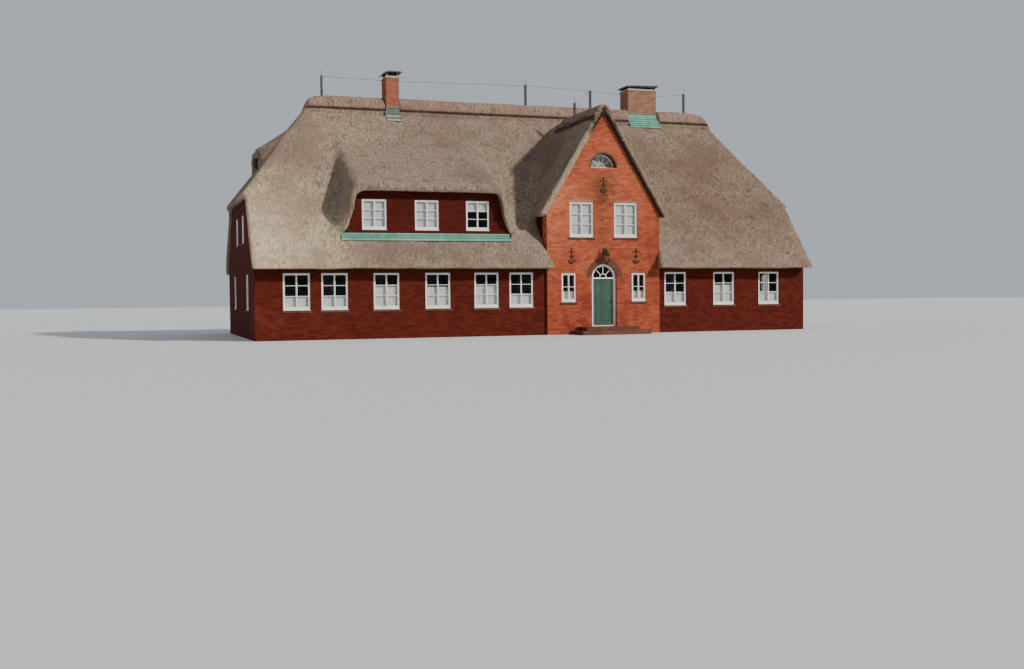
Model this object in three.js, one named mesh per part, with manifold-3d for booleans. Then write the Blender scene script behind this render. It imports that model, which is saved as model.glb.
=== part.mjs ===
// A long brick house with a thatched roof: half-hipped ends, a swept dormer, a flush front gable.
// Millimetres. +X runs along the front wall, +Y from front to back, +Z up.
// The origin is the centre of the plan, on the ground.
import * as THREE from "three";
import { mergeVertices } from "three/addons/utils/BufferGeometryUtils.js";
import Module from "manifold-3d";

const wasm = await Module();
wasm.setup();

const GAP = 0.3; // between two pieces that touch
const FAR = 20000; // reach of a cutting solid
const tangent = (degrees) => Math.tan(THREE.MathUtils.degToRad(degrees));
const cosine = (degrees) => Math.cos(THREE.MathUtils.degToRad(degrees));

// Main block
const HALF_LENGTH = 11500;
const HALF_DEPTH = 5000;
const WALL = 360;
const INNER_Y = HALF_DEPTH - WALL;
const INNER_X = HALF_LENGTH - WALL;
const GROUND_FLOOR_TOP = 300;
const UPPER_FLOOR_BOTTOM = 2750;
const UPPER_FLOOR_TOP = 2970;

// Roof: heights are those of the thatch's outer face
const RIDGE_Z = 9720;
const ROOF_SLOPE = tangent(51.5);
const THATCH = 350; // square to the slope
const THATCH_UPRIGHT = THATCH / cosine(51.5);
const EAVE_Z = 2600;
const EAVE_Y = 5620;
const VERGE_X = 11600;
const HALF_HIPS = {
  left: { side: -1, apex: 8500, slope: tangent(53), upright: THATCH / cosine(53) },
  right: { side: 1, apex: 9100, slope: tangent(59), upright: THATCH / cosine(59) },
};
const HIP_EAVE_X = 11750;
const HIP_LIP = 60;
const EAVE_END = { height: 3560, inset: 190 }; // where the front eave runs out beside the gable

// Front gable, in line with the front wall but for a small step forward
const GABLE_X = 2180;
const GABLE_STEP = 100;
const GABLE_HALF = 2440;
const GABLE_FACE_Y = -HALF_DEPTH - GABLE_STEP;
const GABLE_WALL = WALL + GABLE_STEP;
const GABLE_APEX_Z = 8780;
const SHOULDER_Z = 4735;
const GABLE_SLOPE = (GABLE_APEX_Z - SHOULDER_Z) / GABLE_HALF;
const GABLE_SPLIT_Z = 2600;
const CHEEK_WALL = 240;

// Thatch over the gable
const WING_TOP_Z = 9420; // where the two outer faces would meet, but for the rounding
const WING_EAVE_HALF = 2830;
const WING_EAVE_Z = 4650;
const WING_SLOPE = (WING_TOP_Z - WING_EAVE_Z) / WING_EAVE_HALF;
const WING_ROUNDING = 250;
const WING_VERGE_Y = -5250;
const WING_LIP = { depth: 110, drop: 60 }; // the rounded upper edge of the verge
const WING_SOFFIT = 60; // width of the soffit beside the gable wall
const WING_SPREAD = { from: -4300, to: -3800 }; // along y, where the eave turns into the valley
const WING_ROWS = { first: -4700, count: 20 }; // along y, behind the verge
const WING_DEEP = { bottom: 200, least: 100 }; // below the eave, before the foot is cut off
const VALLEY = { blend: 1100, from: -4400, to: -3700, inner: 250, outer: 1800 };

// Dormer in the front slope: its hood falls to both sides in an S
const DORMER = {
  centre: -4930,
  front: -5100,
  pitch: tangent(28),
  length: 3900,
  blend: 500,
  across: [0, 1200, 2350, 2640, 2800, 2940, 3060, 3140, 3260, 3430, 3670, 3920],
  top: [5800, 5800, 5800, 5790, 5760, 5650, 5350, 4850, 4500, 4220, 4000, 3650],
  under: [5450, 5450, 5450, 5430, 5300, 4600, 4220, 4070, 3930, 3790, 3600, 3300],
  recess: { from: 2750, to: 3500, depth: 400 },
};
const DORMER_FACE_Y = -4700;
const DORMER_WALL = 300;
const DORMER_WALL_HALF = 3400;
const APRON_RISE = 60; // thatch above the foot of the dormer wall

// Eyebrow in the left half-hip, of the same kind
const EYEBROW = {
  front: -10880,
  pitch: tangent(33),
  length: 2600,
  blend: 200,
  across: [0, 600, 1000, 1250, 1500, 1800, 2150, 2500],
  top: [7450, 7450, 7430, 7330, 7120, 6820, 6520, 6200],
  under: [7130, 7120, 7020, 6880, 6700, 6480, 6250, 6000],
  recess: { from: 1200, to: 2400, depth: 200 },
};
const EYEBROW_FACE_X = -10600;
const ROOM_EXTRA = 50; // how far the room that cuts a wall or a window starts before its face
const EYEBROW_WINDOW = { half: 1900, thickness: 90, sill: 50 };

// Windows: centres along the wall, seen from outside
const FRAME = 75;
const FRAME_FROM = 30;
const FRAME_TO = 150;
const PANE_FROM = 80;
const PANE_TO = 104;
const MULLION = 66;
const HEAD_PLATE = { from: 100, to: 300, height: 140, bite: 5 };
const HOUSE_WINDOW = { width: 988, bottom: 1093, top: 2453 };
const DORMER_WINDOW = { width: 943, bottom: 4071, top: 5226 };
const GABLE_WINDOW = { width: 1010, bottom: 3835, top: 5230 };
const SIDE_WINDOW = { width: 616, bottom: 1276, top: 2419 };
const END_UPPER_WINDOW = { width: 943, bottom: 3700, top: 4800 };
const FRONT_LEFT_WINDOWS = [-9993, -8598, -6650, -4662, -2721, -1296];
const FRONT_RIGHT_WINDOWS = [5400, 7650, 9800];
const BACK_WINDOWS = [-9900, -7400, -4900, -2400, 2400, 4900, 7400, 9900];
const DORMER_WINDOWS = [-7011, -4979, -2955];
const GABLE_WINDOW_OFFSET = 955;
const SIDE_WINDOW_OFFSET = 1520;
const END_WINDOW_OFFSET = 2400;
const END_UPPER_OFFSET = 1150;
const LUNETTE = { base: 6605, radius: 550, from: 250, to: 340 };
const ROUND_PANE = { from: 30, to: 54 }; // behind its frame's outer face

// Front door
const DOORWAY_HALF = 536;
const SPRINGING_Z = 2247;
const DOOR_FRAME = { from: 100, to: 220, jamb: 95, transom: 60, threshold: 35 };
const LEAF = { thickness: 50, clear: 8, back: 215, floor: 10 };
const HINGE = { radius: 8, out: 17, half: 50, reach: 60, run: 0.4, heights: [620, 1880] };
const LANDING = { half: 1150, depth: 900, height: 300 };
const LOWER_STEP = { half: 1450, depth: 1250, height: 150 };
const SILL_BLOCK_OUT = 100;

// Iron on the gable
const LANTERN = {
  out: 220,
  outline: [
    [0, 2722],
    [40, 2735],
    [55, 2830],
    [110, 2850],
    [135, 3110],
    [175, 3125],
    [110, 3240],
    [40, 3330],
    [22, 3511],
    [0, 3511],
  ],
  arm: { half: 15, z: [3290, 3320] },
  plate: { half: 45, thickness: 25, z: [3180, 3420] },
};
const ANCHOR = {
  thickness: 30,
  shank: { half: 17, z: [30, 600] },
  stock: { half: 95, z: [495, 530] },
  eye: { half: 38, z: [580, 625] },
  arms: { radius: 140, bar: 26, raise: 12, from: 1.08, to: 1.92 },
};
const ANCHORS = { upper: [0, 5604], left: [-1395, 2783], right: [1395, 2783] };

// On the roof
const RIDGE_CORE = 400; // half width of the ridge's own strip of reed
const RIDGE_ROLL = {
  half: 380,
  foot: 9330,
  top: 9840,
  left: -8980,
  right: 9700,
  end: 900, // length over which each end dies down
  endDrop: 250,
  endRound: 0.25, // share of the crown's height that is left at the very end
  buried: 600,
};
const WING_ROLL = { half: 440, thickness: 70, edge: 0.8, buried: 150 };
const CHIMNEYS = {
  left: { x: [-5520, -4970], y: [-RIDGE_CORE, RIDGE_CORE], top: 10680, flue: 300 },
  right: { x: [5590, 6980], y: [-170, 670], top: 10760, flue: 300 },
};
const STACK_SPLIT_Z = 8600; // the flue is open above this
const COWLS = {
  left: { overhang: 170, plate: 45, raise: 180, leg: 60 },
  right: { overhang: 75, plate: 60, raise: 120, leg: 60 },
};
const FLASHINGS = {
  left: { margin: 55, length: 560 },
  right: { margin: 60, length: 690 },
};
const SHEET = 14;
const UPSTAND = { height: 150, thickness: 20 };
const DORMER_APRON = {
  centre: -4980,
  half: 3355,
  top: 3960,
  folds: [[20, 0], [60, -100], [110, -200]], // out from the wall, down from the top
  foot: 150,
  edge: 20,
};
const POST = { size: 90, spike: 9, spikeLength: 260, wire: 7, bed: 40, socket: 20, knot: 30 };
const POSTS = {
  left: [-8120, 0, 10640],
  middle: [760, 0, 10710],
  gable: [GABLE_X, -2150, 9650],
  centre: [3820, 0, 10620],
  right: [8460, 0, 10690],
};
const WIRE_ENDS = { clear: 3, left: 10560, right: 10500 }; // at the chimneys

const COLOURS = {
  darkBrick: [0x7a2d26, 0.85, 0],
  brick: [0xb8553a, 0.85, 0],
  chimneyBrick: [0xa8614c, 0.85, 0],
  thatch: [0x93816f, 0.95, 0],
  heather: [0x8a6858, 0.95, 0],
  paint: [0xeeeae0, 0.4, 0],
  door: [0x2f4a3a, 0.45, 0],
  copper: [0x6fae98, 0.6, 0.3],
  iron: [0x2c2a2b, 0.6, 0.6],
  concrete: [0xb9b4aa, 0.9, 0],
  timber: [0x9a7b56, 0.8, 0],
};

// Solids

function solid(geometry) {
  const loose = geometry.index ? geometry.toNonIndexed() : geometry;
  const bare = new THREE.BufferGeometry();
  bare.setAttribute("position", loose.getAttribute("position"));
  const merged = mergeVertices(bare, 1e-3);
  return new wasm.Manifold(
    new wasm.Mesh({
      numProp: 3,
      vertProperties: merged.attributes.position.array,
      triVerts: new Uint32Array(merged.index.array),
    }),
  );
}

function box([x0, x1], [y0, y1], [z0, z1]) {
  const geometry = new THREE.BoxGeometry(x1 - x0, y1 - y0, z1 - z0);
  geometry.translate((x0 + x1) / 2, (y0 + y1) / 2, (z0 + z1) / 2);
  return solid(geometry);
}

function shapeOf(outline) {
  return new THREE.Shape(outline.map(([a, b]) => new THREE.Vector2(a, b)));
}

// A shape drawn in the (y, z) plane and drawn out along X.
function alongX(shape, [from, to]) {
  const geometry = new THREE.ExtrudeGeometry(shape, { depth: to - from, bevelEnabled: false });
  geometry.translate(0, 0, from);
  const turn = new THREE.Matrix4().makeBasis(
    new THREE.Vector3(0, 1, 0),
    new THREE.Vector3(0, 0, 1),
    new THREE.Vector3(1, 0, 0),
  );
  return solid(geometry.applyMatrix4(turn));
}

// A shape drawn in the (x, z) plane and drawn out along Y.
function alongY(shape, [from, to], curveSegments = 16) {
  const geometry = new THREE.ExtrudeGeometry(shape, {
    depth: to - from,
    bevelEnabled: false,
    curveSegments,
  });
  geometry.rotateX(Math.PI / 2);
  geometry.translate(0, to, 0);
  return solid(geometry);
}

// A plan outline drawn up from one height to another.
function upright(outline, [from, to]) {
  const geometry = new THREE.ExtrudeGeometry(shapeOf(outline), {
    depth: to - from,
    bevelEnabled: false,
  });
  geometry.translate(0, 0, from);
  return solid(geometry);
}

// A solid between two heights over a net of stations; place gives { x, y, top, bottom }.
function net(us, vs, place) {
  const positions = [];
  const index = [];
  const level = us.length * vs.length;
  for (const face of ["top", "bottom"]) {
    for (const u of us) {
      for (const v of vs) {
        const at = place(u, v);
        positions.push(at.x, at.y, at[face]);
      }
    }
  }
  const corner = (i, j) => i * vs.length + j;
  const quad = (a, b, c, d) => index.push(a, b, c, a, c, d);
  for (let i = 0; i + 1 < us.length; i++) {
    for (let j = 0; j + 1 < vs.length; j++) {
      const ring = [corner(i, j), corner(i + 1, j), corner(i + 1, j + 1), corner(i, j + 1)];
      quad(...ring);
      quad(...ring.map((k) => k + level).reverse());
    }
  }
  const rim = [];
  for (let i = 0; i + 1 < us.length; i++) rim.push(corner(i, 0));
  for (let j = 0; j + 1 < vs.length; j++) rim.push(corner(us.length - 1, j));
  for (let i = us.length - 1; i > 0; i--) rim.push(corner(i, vs.length - 1));
  for (let j = vs.length - 1; j > 0; j--) rim.push(corner(0, j));
  rim.forEach((from, k) => {
    const to = rim[(k + 1) % rim.length];
    quad(from, from + level, to + level, to);
  });
  const first = place(us[0], vs[0]);
  const alongU = place(us[1], vs[0]);
  const alongV = place(us[0], vs[1]);
  const turn =
    (alongU.x - first.x) * (alongV.y - first.y) - (alongU.y - first.y) * (alongV.x - first.x);
  if (turn < 0) index.reverse();
  const geometry = new THREE.BufferGeometry();
  geometry.setAttribute("position", new THREE.Float32BufferAttribute(positions, 3));
  geometry.setIndex(index);
  return solid(geometry);
}

function evenly(from, to, steps) {
  return Array.from({ length: steps + 1 }, (_, i) => from + ((to - from) * i) / steps);
}

const bothSides = (stations) => [...stations.slice(1).map((s) => -s).reverse(), ...stations];

// The larger of two heights, with the crease between them filled over the blend.
function softMax(a, b, blend) {
  const overlap = Math.max(blend - Math.abs(a - b), 0);
  return Math.max(a, b) + (blend > 0 ? (overlap * overlap) / (4 * blend) : 0);
}

// Height read off an outline given by stations, straight between them.
function readOff(stations, heights, at) {
  const last = stations.length - 1;
  const k = Math.min(Math.max(stations.findIndex((s) => s >= at), 1), last);
  const share = (at - stations[k - 1]) / (stations[k] - stations[k - 1]);
  return THREE.MathUtils.lerp(heights[k - 1], heights[k], Math.min(Math.max(share, 0), 1));
}

// The object
const house = new THREE.Group();

function add(name, piece, colour, parent = house) {
  const { vertProperties, triVerts } = piece.getMesh();
  const geometry = new THREE.BufferGeometry();
  geometry.setAttribute("position", new THREE.BufferAttribute(vertProperties, 3));
  geometry.setIndex(new THREE.BufferAttribute(triVerts, 1));
  geometry.computeVertexNormals();
  const [color, roughness, metalness] = COLOURS[colour];
  const material = new THREE.MeshStandardMaterial({ color, roughness, metalness });
  const mesh = new THREE.Mesh(geometry, material);
  mesh.name = name;
  parent.add(mesh);
  return mesh;
}

// Roof faces

const roofTop = (y) => RIDGE_Z - ROOF_SLOPE * Math.abs(y);
const roofUnder = (y) => roofTop(y) - THATCH_UPRIGHT;
const hipTop = (hip, out) => RIDGE_Z - hip.slope * (out - hip.apex);
const hipUnder = (hip, out) => hipTop(hip, out) - hip.upright;
const wingTop = (x) => WING_TOP_Z - WING_SLOPE * Math.hypot(x - GABLE_X, WING_ROUNDING);

// All that lies below both main slopes, lowered by a drop.
function belowSlopes(drop, reach = HALF_LENGTH * 2) {
  const foot = (RIDGE_Z - drop) / ROOF_SLOPE;
  return alongX(shapeOf([[-foot, 0], [foot, 0], [0, RIDGE_Z - drop]]), [-reach, reach]);
}

// All that lies below a half-hip's face, lowered by a drop.
function belowHip(hip, drop) {
  const reach = (RIDGE_Z - drop) / hip.slope;
  const outline = [
    [-hip.side * FAR, 0],
    [hip.side * (hip.apex + reach), 0],
    [hip.side * hip.apex, RIDGE_Z - drop],
    [-hip.side * FAR, RIDGE_Z - drop],
  ];
  return alongY(shapeOf(outline), [-FAR, FAR]);
}

// All that lies below the gable thatch's underside, as wide as the gable, lowered by a drop.
function belowGable(drop, grow, [from, to]) {
  const half = GABLE_HALF + grow;
  const shoulder = GABLE_APEX_Z - drop - GABLE_SLOPE * half;
  const outline = [
    [GABLE_X - half, 0],
    [GABLE_X + half, 0],
    [GABLE_X + half, shoulder],
    [GABLE_X, GABLE_APEX_Z - drop],
    [GABLE_X - half, shoulder],
  ];
  return alongY(shapeOf(outline), [from, to]);
}

// The plan of a half-hip, between the two hip lines.
function hipPlan(hip, inset) {
  const apex = hip.side * (hip.apex + inset);
  const reach = FAR;
  const half = (reach * hip.slope) / ROOF_SLOPE;
  const end = apex + hip.side * reach;
  return upright([[apex, 0], [end, half], [end, -half]], [-1, RIDGE_Z + 100]);
}

// Drawn out from verge to verge and cut where the half-hips begin.
function betweenHips(outline) {
  const whole = alongX(shapeOf(outline), [-VERGE_X, VERGE_X]);
  return Object.values(HALF_HIPS).reduce((left, hip) => left.subtract(hipPlan(hip, 0)), whole);
}

// One main slope, from its eave up to the ridge's strip, without openings.
function mainSlope(side) {
  const toe = (RIDGE_Z - THATCH_UPRIGHT - EAVE_Z) / ROOF_SLOPE;
  const head = RIDGE_CORE + GAP;
  return betweenHips([
    [side * EAVE_Y, EAVE_Z],
    [side * toe, EAVE_Z],
    [side * head, roofUnder(head)],
    [side * head, roofTop(head)],
    [side * EAVE_Y, roofTop(EAVE_Y)],
  ]);
}

// Swept hoods

const edgeOf = (hood, across) => {
  const share = THREE.MathUtils.smoothstep(across, hood.recess.from, hood.recess.to);
  return hood.recess.depth * share;
};

// The hood's shell; lay turns (across, inward) into (x, y), roofAt gives the roof's top there.
function hoodShell(hood, lay, roofAt) {
  return net(bothSides(hood.across), evenly(0, 1, 8), (v, share) => {
    const across = Math.abs(v);
    const edge = edgeOf(hood, across);
    const inward = edge + (hood.length - edge) * share;
    const climb = hood.pitch * (inward - edge);
    const top = readOff(hood.across, hood.top, across) + climb;
    const bottom = readOff(hood.across, hood.under, across) + climb;
    return { ...lay(v, inward), top: softMax(top, roofAt(inward), hood.blend * share), bottom };
  });
}

// The space under the hood, from a distance inward, lowered by a drop.
function hoodRoom(hood, lay, from, drop) {
  return net(bothSides(hood.across), evenly(from, hood.length, 6), (v, inward) => {
    const across = Math.abs(v);
    const climb = hood.pitch * (inward - edgeOf(hood, across));
    const top = readOff(hood.across, hood.under, across) + climb - drop;
    return { ...lay(v, inward), top, bottom: 0 };
  });
}

const layDormer = (v, inward) => ({ x: DORMER.centre + v, y: DORMER.front + inward });
const layEyebrow = (v, inward) => ({ x: EYEBROW.front + inward, y: v });

// The thatch

const chimneyHoles = Object.values(CHIMNEYS).map(({ x, y, top }) =>
  box([x[0] - GAP, x[1] + GAP], [y[0] - GAP, y[1] + GAP], [0, top]),
);
const minusAll = (piece, cutters) => cutters.reduce((left, cutter) => left.subtract(cutter), piece);

function wingThatch() {
  const { smoothstep, lerp } = THREE.MathUtils;
  const backY = -RIDGE_CORE - GAP;
  const lipEnd = WING_VERGE_Y + WING_LIP.depth;
  const rows = evenly(WING_ROWS.first, backY, WING_ROWS.count);
  const ys = [WING_VERGE_Y, (WING_VERGE_Y + lipEnd) / 2, lipEnd, ...rows];
  const shares = [0, 0.04, 0.09, 0.15, 0.25, 0.45, 0.62, 0.74, 0.84, 0.92, 1];
  const deep = WING_EAVE_Z - WING_DEEP.bottom;
  const outer = net(bothSides(shares), ys, (share, y) => {
    const valley = (WING_TOP_Z - roofTop(y) + VALLEY.blend) / WING_SLOPE;
    const half = lerp(WING_EAVE_HALF, valley, smoothstep(y, WING_SPREAD.from, WING_SPREAD.to));
    const x = GABLE_X + half * share;
    const out = smoothstep(half * Math.abs(share), VALLEY.inner, VALLEY.outer);
    const along = smoothstep(y, VALLEY.from, VALLEY.to);
    const lip = WING_LIP.drop * Math.max((lipEnd - y) / WING_LIP.depth, 0) ** 2;
    const top = softMax(wingTop(x), roofTop(y), VALLEY.blend * out * along) - lip;
    return { x, y, top: Math.max(top, deep + WING_DEEP.least), bottom: deep };
  });
  const foot = box([-FAR, FAR], [-FAR, FAR], [-FAR, WING_EAVE_Z]);
  return minusAll(outer, [
    belowGable(0, WING_SOFFIT, [-FAR, FAR]).add(belowGable(0, 0, [-FAR, FAR])),
    belowSlopes(-GAP),
    dormerShell.translate([0, 0, GAP]),
    foot,
  ]);
}

const dormerShell = hoodShell(DORMER, layDormer, (inward) => roofTop(DORMER.front + inward));
const dormerRoom = hoodRoom(DORMER, layDormer, DORMER_FACE_Y - DORMER.front, 0);
const gableCut = belowGable(0, GAP, [GABLE_FACE_Y - GAP, 0]);

function frontThatch() {
  const eaveEnd = alongY(
    shapeOf([
      [GABLE_X - GABLE_HALF - GAP, EAVE_END.height],
      [GABLE_X - GABLE_HALF + EAVE_END.inset, EAVE_Z - 10],
      [GABLE_X + GABLE_HALF - EAVE_END.inset, EAVE_Z - 10],
      [GABLE_X + GABLE_HALF + GAP, EAVE_END.height],
    ]),
    [-FAR, GABLE_FACE_Y],
  );
  const slope = mainSlope(-1).subtract(dormerRoom);
  const hood = dormerShell.subtract(belowSlopes(THATCH_UPRIGHT));
  return minusAll(slope.add(hood), [gableCut, eaveEnd, ...chimneyHoles]);
}

const thatch = frontThatch();
const hoodFrom = DORMER.centre - DORMER_WALL_HALF;
const hoodTo = DORMER.centre + DORMER_WALL_HALF;
const apronBlock = upright(
  [[hoodFrom, -FAR], [hoodTo, -FAR], [hoodTo, DORMER_FACE_Y + 1], [hoodFrom, DORMER_FACE_Y + 1]],
  [0, roofTop(DORMER_FACE_Y) + APRON_RISE],
).intersect(belowSlopes(-1));

const slab = (from, to) => box([from, to], [-FAR, FAR], [-1, FAR]);
add("thatch_front_left", thatch.intersect(slab(-FAR, hoodFrom - GAP)), "thatch");
add("thatch_dormer", minusAll(thatch.intersect(slab(hoodFrom, hoodTo)), [apronBlock]), "thatch");
add("thatch_apron", thatch.intersect(apronBlock).intersect(slab(hoodFrom, hoodTo)), "thatch");
add("thatch_front_middle", thatch.intersect(slab(hoodTo + GAP, GABLE_X)), "thatch");
add("thatch_front_right", thatch.intersect(slab(GABLE_X + GAP, FAR)), "thatch");
add("thatch_back", minusAll(mainSlope(1), chimneyHoles), "thatch");

function hipThatch(hip) {
  const reach = HIP_EAVE_X;
  const lipZ = hipTop(hip, reach) - HIP_LIP;
  const toe = hip.apex + (RIDGE_Z - hip.upright - lipZ) / hip.slope;
  const outline = [
    [hip.side * hip.apex, RIDGE_Z],
    [hip.side * reach, hipTop(hip, reach)],
    [hip.side * reach, lipZ],
    [hip.side * toe, lipZ],
    [hip.side * hip.apex, RIDGE_Z - hip.upright],
  ];
  return alongY(shapeOf(outline), [-HALF_DEPTH, HALF_DEPTH]);
}

const leftHip = HALF_HIPS.left;
const eyebrowShell = hoodShell(EYEBROW, layEyebrow, (inward) => hipTop(leftHip, -EYEBROW.front - inward));
const eyebrowRoom = hoodRoom(EYEBROW, layEyebrow, EYEBROW_FACE_X - EYEBROW.front, 0);
add(
  "thatch_hip_left",
  hipThatch(leftHip)
    .subtract(eyebrowRoom)
    .add(eyebrowShell.subtract(belowHip(leftHip, leftHip.upright)))
    .intersect(hipPlan(leftHip, 0.5)),
  "thatch",
);
add("thatch_hip_right", hipThatch(HALF_HIPS.right).intersect(hipPlan(HALF_HIPS.right, 0.5)), "thatch");

const wing = wingThatch();
add("thatch_gable_left", wing.intersect(slab(-FAR, GABLE_X)), "thatch");
add("thatch_gable_right", wing.intersect(slab(GABLE_X + GAP, FAR)), "thatch");

// Ridge: a strip of reed between the slopes, capped by a heather roll

function ridgeCore() {
  return betweenHips([
    [-RIDGE_CORE, roofUnder(RIDGE_CORE)],
    [0, roofUnder(0)],
    [RIDGE_CORE, roofUnder(RIDGE_CORE)],
    [RIDGE_CORE, roofTop(RIDGE_CORE)],
    [0, RIDGE_Z],
    [-RIDGE_CORE, roofTop(RIDGE_CORE)],
  ]);
}

function ridgeRoll() {
  const { half, foot, top, left, right, end, endDrop, endRound, buried } = RIDGE_ROLL;
  const ends = [0, 0.02, 0.12, 0.3, 0.6, 1];
  const xs = [...ends.map((s) => left + end * s), ...ends.map((s) => right - end * s).reverse()];
  const ys = evenly(0, 180, 10).map((a) => -half * Math.cos(THREE.MathUtils.degToRad(a)));
  return net(xs, ys, (x, y) => {
    const fromEnd = Math.min(Math.min(x - left, right - x) / end, 1);
    const round = Math.sqrt(Math.max(1 - (1 - fromEnd) ** 2, 0));
    const across = Math.sqrt(Math.max(1 - (y / half) ** 2, 0));
    const crown = (top - foot) * across * (endRound + (1 - endRound) * round);
    return { x, y, top: foot - endDrop * (1 - round) + crown + 1, bottom: foot - buried };
  });
}

const hipTops = Object.values(HALF_HIPS).map((hip) => hipPlan(hip, 0).intersect(belowHip(hip, -GAP)));
const { left: leftStack, right: rightStack } = CHIMNEYS;
const apronMargin = FLASHINGS.right.margin + GAP;
const apronRoom = box(
  [rightStack.x[0] - apronMargin, rightStack.x[1] + apronMargin],
  [-RIDGE_ROLL.half - 1, rightStack.y[0]],
  [0, FAR],
);
const ridge = minusAll(
  minusAll(ridgeRoll(), [belowSlopes(THATCH_UPRIGHT), ...hipTops, apronRoom]).add(ridgeCore()),
  chimneyHoles,
);
const rollPieces = {
  ridge_roll_left: [-FAR, leftStack.x[0] - GAP],
  ridge_roll_middle: [leftStack.x[1] + GAP, rightStack.x[0] - GAP],
  ridge_roll_right: [rightStack.x[1] + GAP, FAR],
};
for (const [name, [from, to]] of Object.entries(rollPieces)) {
  add(name, ridge.intersect(slab(from, to)), "heather");
}

function wingRoll() {
  const { half, thickness, edge, buried } = WING_ROLL;
  const ys = [WING_VERGE_Y + WING_LIP.depth / 2, WING_VERGE_Y + WING_LIP.depth * 2, -RIDGE_CORE];
  const xs = evenly(-1, 1, 10).map((s) => GABLE_X + half * s);
  return net(xs, ys, (x, y) => {
    const across = Math.abs(x - GABLE_X) / half;
    const rise = thickness * (1 - (1 - edge) * across * across) * (y === ys[0] ? edge : 1);
    return { x, y, top: wingTop(x) + rise, bottom: wingTop(x) - buried };
  });
}
const gableRoll = minusAll(wingRoll(), [wing.translate([0, 0, GAP]), belowSlopes(-3 * GAP)]);
add("gable_roll", gableRoll, "heather");

// Floors

add(
  "ground_floor",
  box([-INNER_X + GAP, INNER_X - GAP], [-INNER_Y + GAP, INNER_Y - GAP], [0, GROUND_FLOOR_TOP]),
  "concrete",
);
add(
  "upper_floor",
  minusAll(
    box(
      [-INNER_X + GAP, INNER_X - GAP],
      [-INNER_Y + GAP, INNER_Y - GAP],
      [UPPER_FLOOR_BOTTOM, UPPER_FLOOR_TOP],
    ),
    chimneyHoles,
  ),
  "timber",
);

// Windows: drawn facing -Y, with the wall's outer face at y = 0

const opening = (centre, { width, bottom, top }, depth) =>
  box([centre - width / 2, centre + width / 2], [-10, depth + 10], [bottom, top]);

function windowUnit(centre, { width, bottom, top }) {
  const x = [centre - width / 2 + GAP, centre + width / 2 - GAP];
  const z = [bottom + GAP, top - GAP];
  const inner = [
    [x[0] + FRAME, x[1] - FRAME],
    [z[0] + FRAME, z[1] - FRAME],
  ];
  const ring = box(x, [FRAME_FROM, FRAME_TO], z).subtract(
    box(inner[0], [FRAME_FROM - 1, FRAME_TO + 1], inner[1]),
  );
  const pane = box(x, [PANE_FROM, PANE_TO], z);
  const mullion = box([centre - MULLION / 2, centre + MULLION / 2], [FRAME_FROM, FRAME_TO], z);
  return ring.add(pane).add(mullion);
}

// A row of windows under one timber head plate, which carries them in the wall.
function windowRow(centres, kind) {
  const { from, to, height, bite } = HEAD_PLATE;
  const plate = box(
    [centres[0] - kind.width / 2, centres.at(-1) + kind.width / 2],
    [from, to],
    [kind.top - GAP - bite, kind.top + height],
  );
  return centres.reduce((row, centre) => row.add(windowUnit(centre, kind)), plate);
}

function rowHoles(centres, kind, depth) {
  const { from, height, bite } = HEAD_PLATE;
  const groove = box(
    [centres[0] - kind.width / 2 - GAP, centres.at(-1) + kind.width / 2 + GAP],
    [from - GAP, depth + 10],
    [kind.top - 2 * GAP - bite, kind.top + height + GAP],
  );
  return [groove, ...centres.map((centre) => opening(centre, kind, depth))];
}

// A group whose local wall faces -Y and stands on its own outer face.
function wallGroup(x, y, turn) {
  const group = new THREE.Group();
  group.position.set(x, y, 0);
  group.rotation.z = turn;
  house.add(group);
  return group;
}

const underRoof = belowSlopes(THATCH_UPRIGHT + GAP);
const shift = (piece, x, y) => {
  const { vertProperties, triVerts } = piece.getMesh();
  const moved = new THREE.BufferGeometry();
  moved.setAttribute("position", new THREE.BufferAttribute(vertProperties, 3));
  moved.setIndex(new THREE.BufferAttribute(triVerts, 1));
  moved.translate(x, y, 0);
  return solid(moved);
};

// Front walls either side of the gable
const front = wallGroup(0, -HALF_DEPTH, 0);
const frontRoof = shift(underRoof, 0, HALF_DEPTH);
const gableLeftX = GABLE_X - GABLE_HALF;
const gableRightX = GABLE_X + GABLE_HALF;

function frontWall(from, to, centres) {
  const wall = box([from, to], [0, WALL], [0, UPPER_FLOOR_TOP]);
  return minusAll(wall, rowHoles(centres, HOUSE_WINDOW, WALL)).intersect(frontRoof);
}

add("front_wall_left", frontWall(-INNER_X + GAP, gableLeftX - GAP, FRONT_LEFT_WINDOWS), "darkBrick", front);
add("front_wall_right", frontWall(gableRightX + GAP, INNER_X - GAP, FRONT_RIGHT_WINDOWS), "darkBrick", front);
add("windows_front_left", windowRow(FRONT_LEFT_WINDOWS, HOUSE_WINDOW), "paint", front);
add("windows_front_right", windowRow(FRONT_RIGHT_WINDOWS, HOUSE_WINDOW), "paint", front);

// Back wall
const back = wallGroup(0, HALF_DEPTH, Math.PI);
add(
  "back_wall",
  minusAll(
    box([-INNER_X + GAP, INNER_X - GAP], [0, WALL], [0, UPPER_FLOOR_TOP]),
    rowHoles(BACK_WINDOWS, HOUSE_WINDOW, WALL),
  ).intersect(frontRoof),
  "darkBrick",
  back,
);
add("windows_back", windowRow(BACK_WINDOWS, HOUSE_WINDOW), "paint", back);

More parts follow.
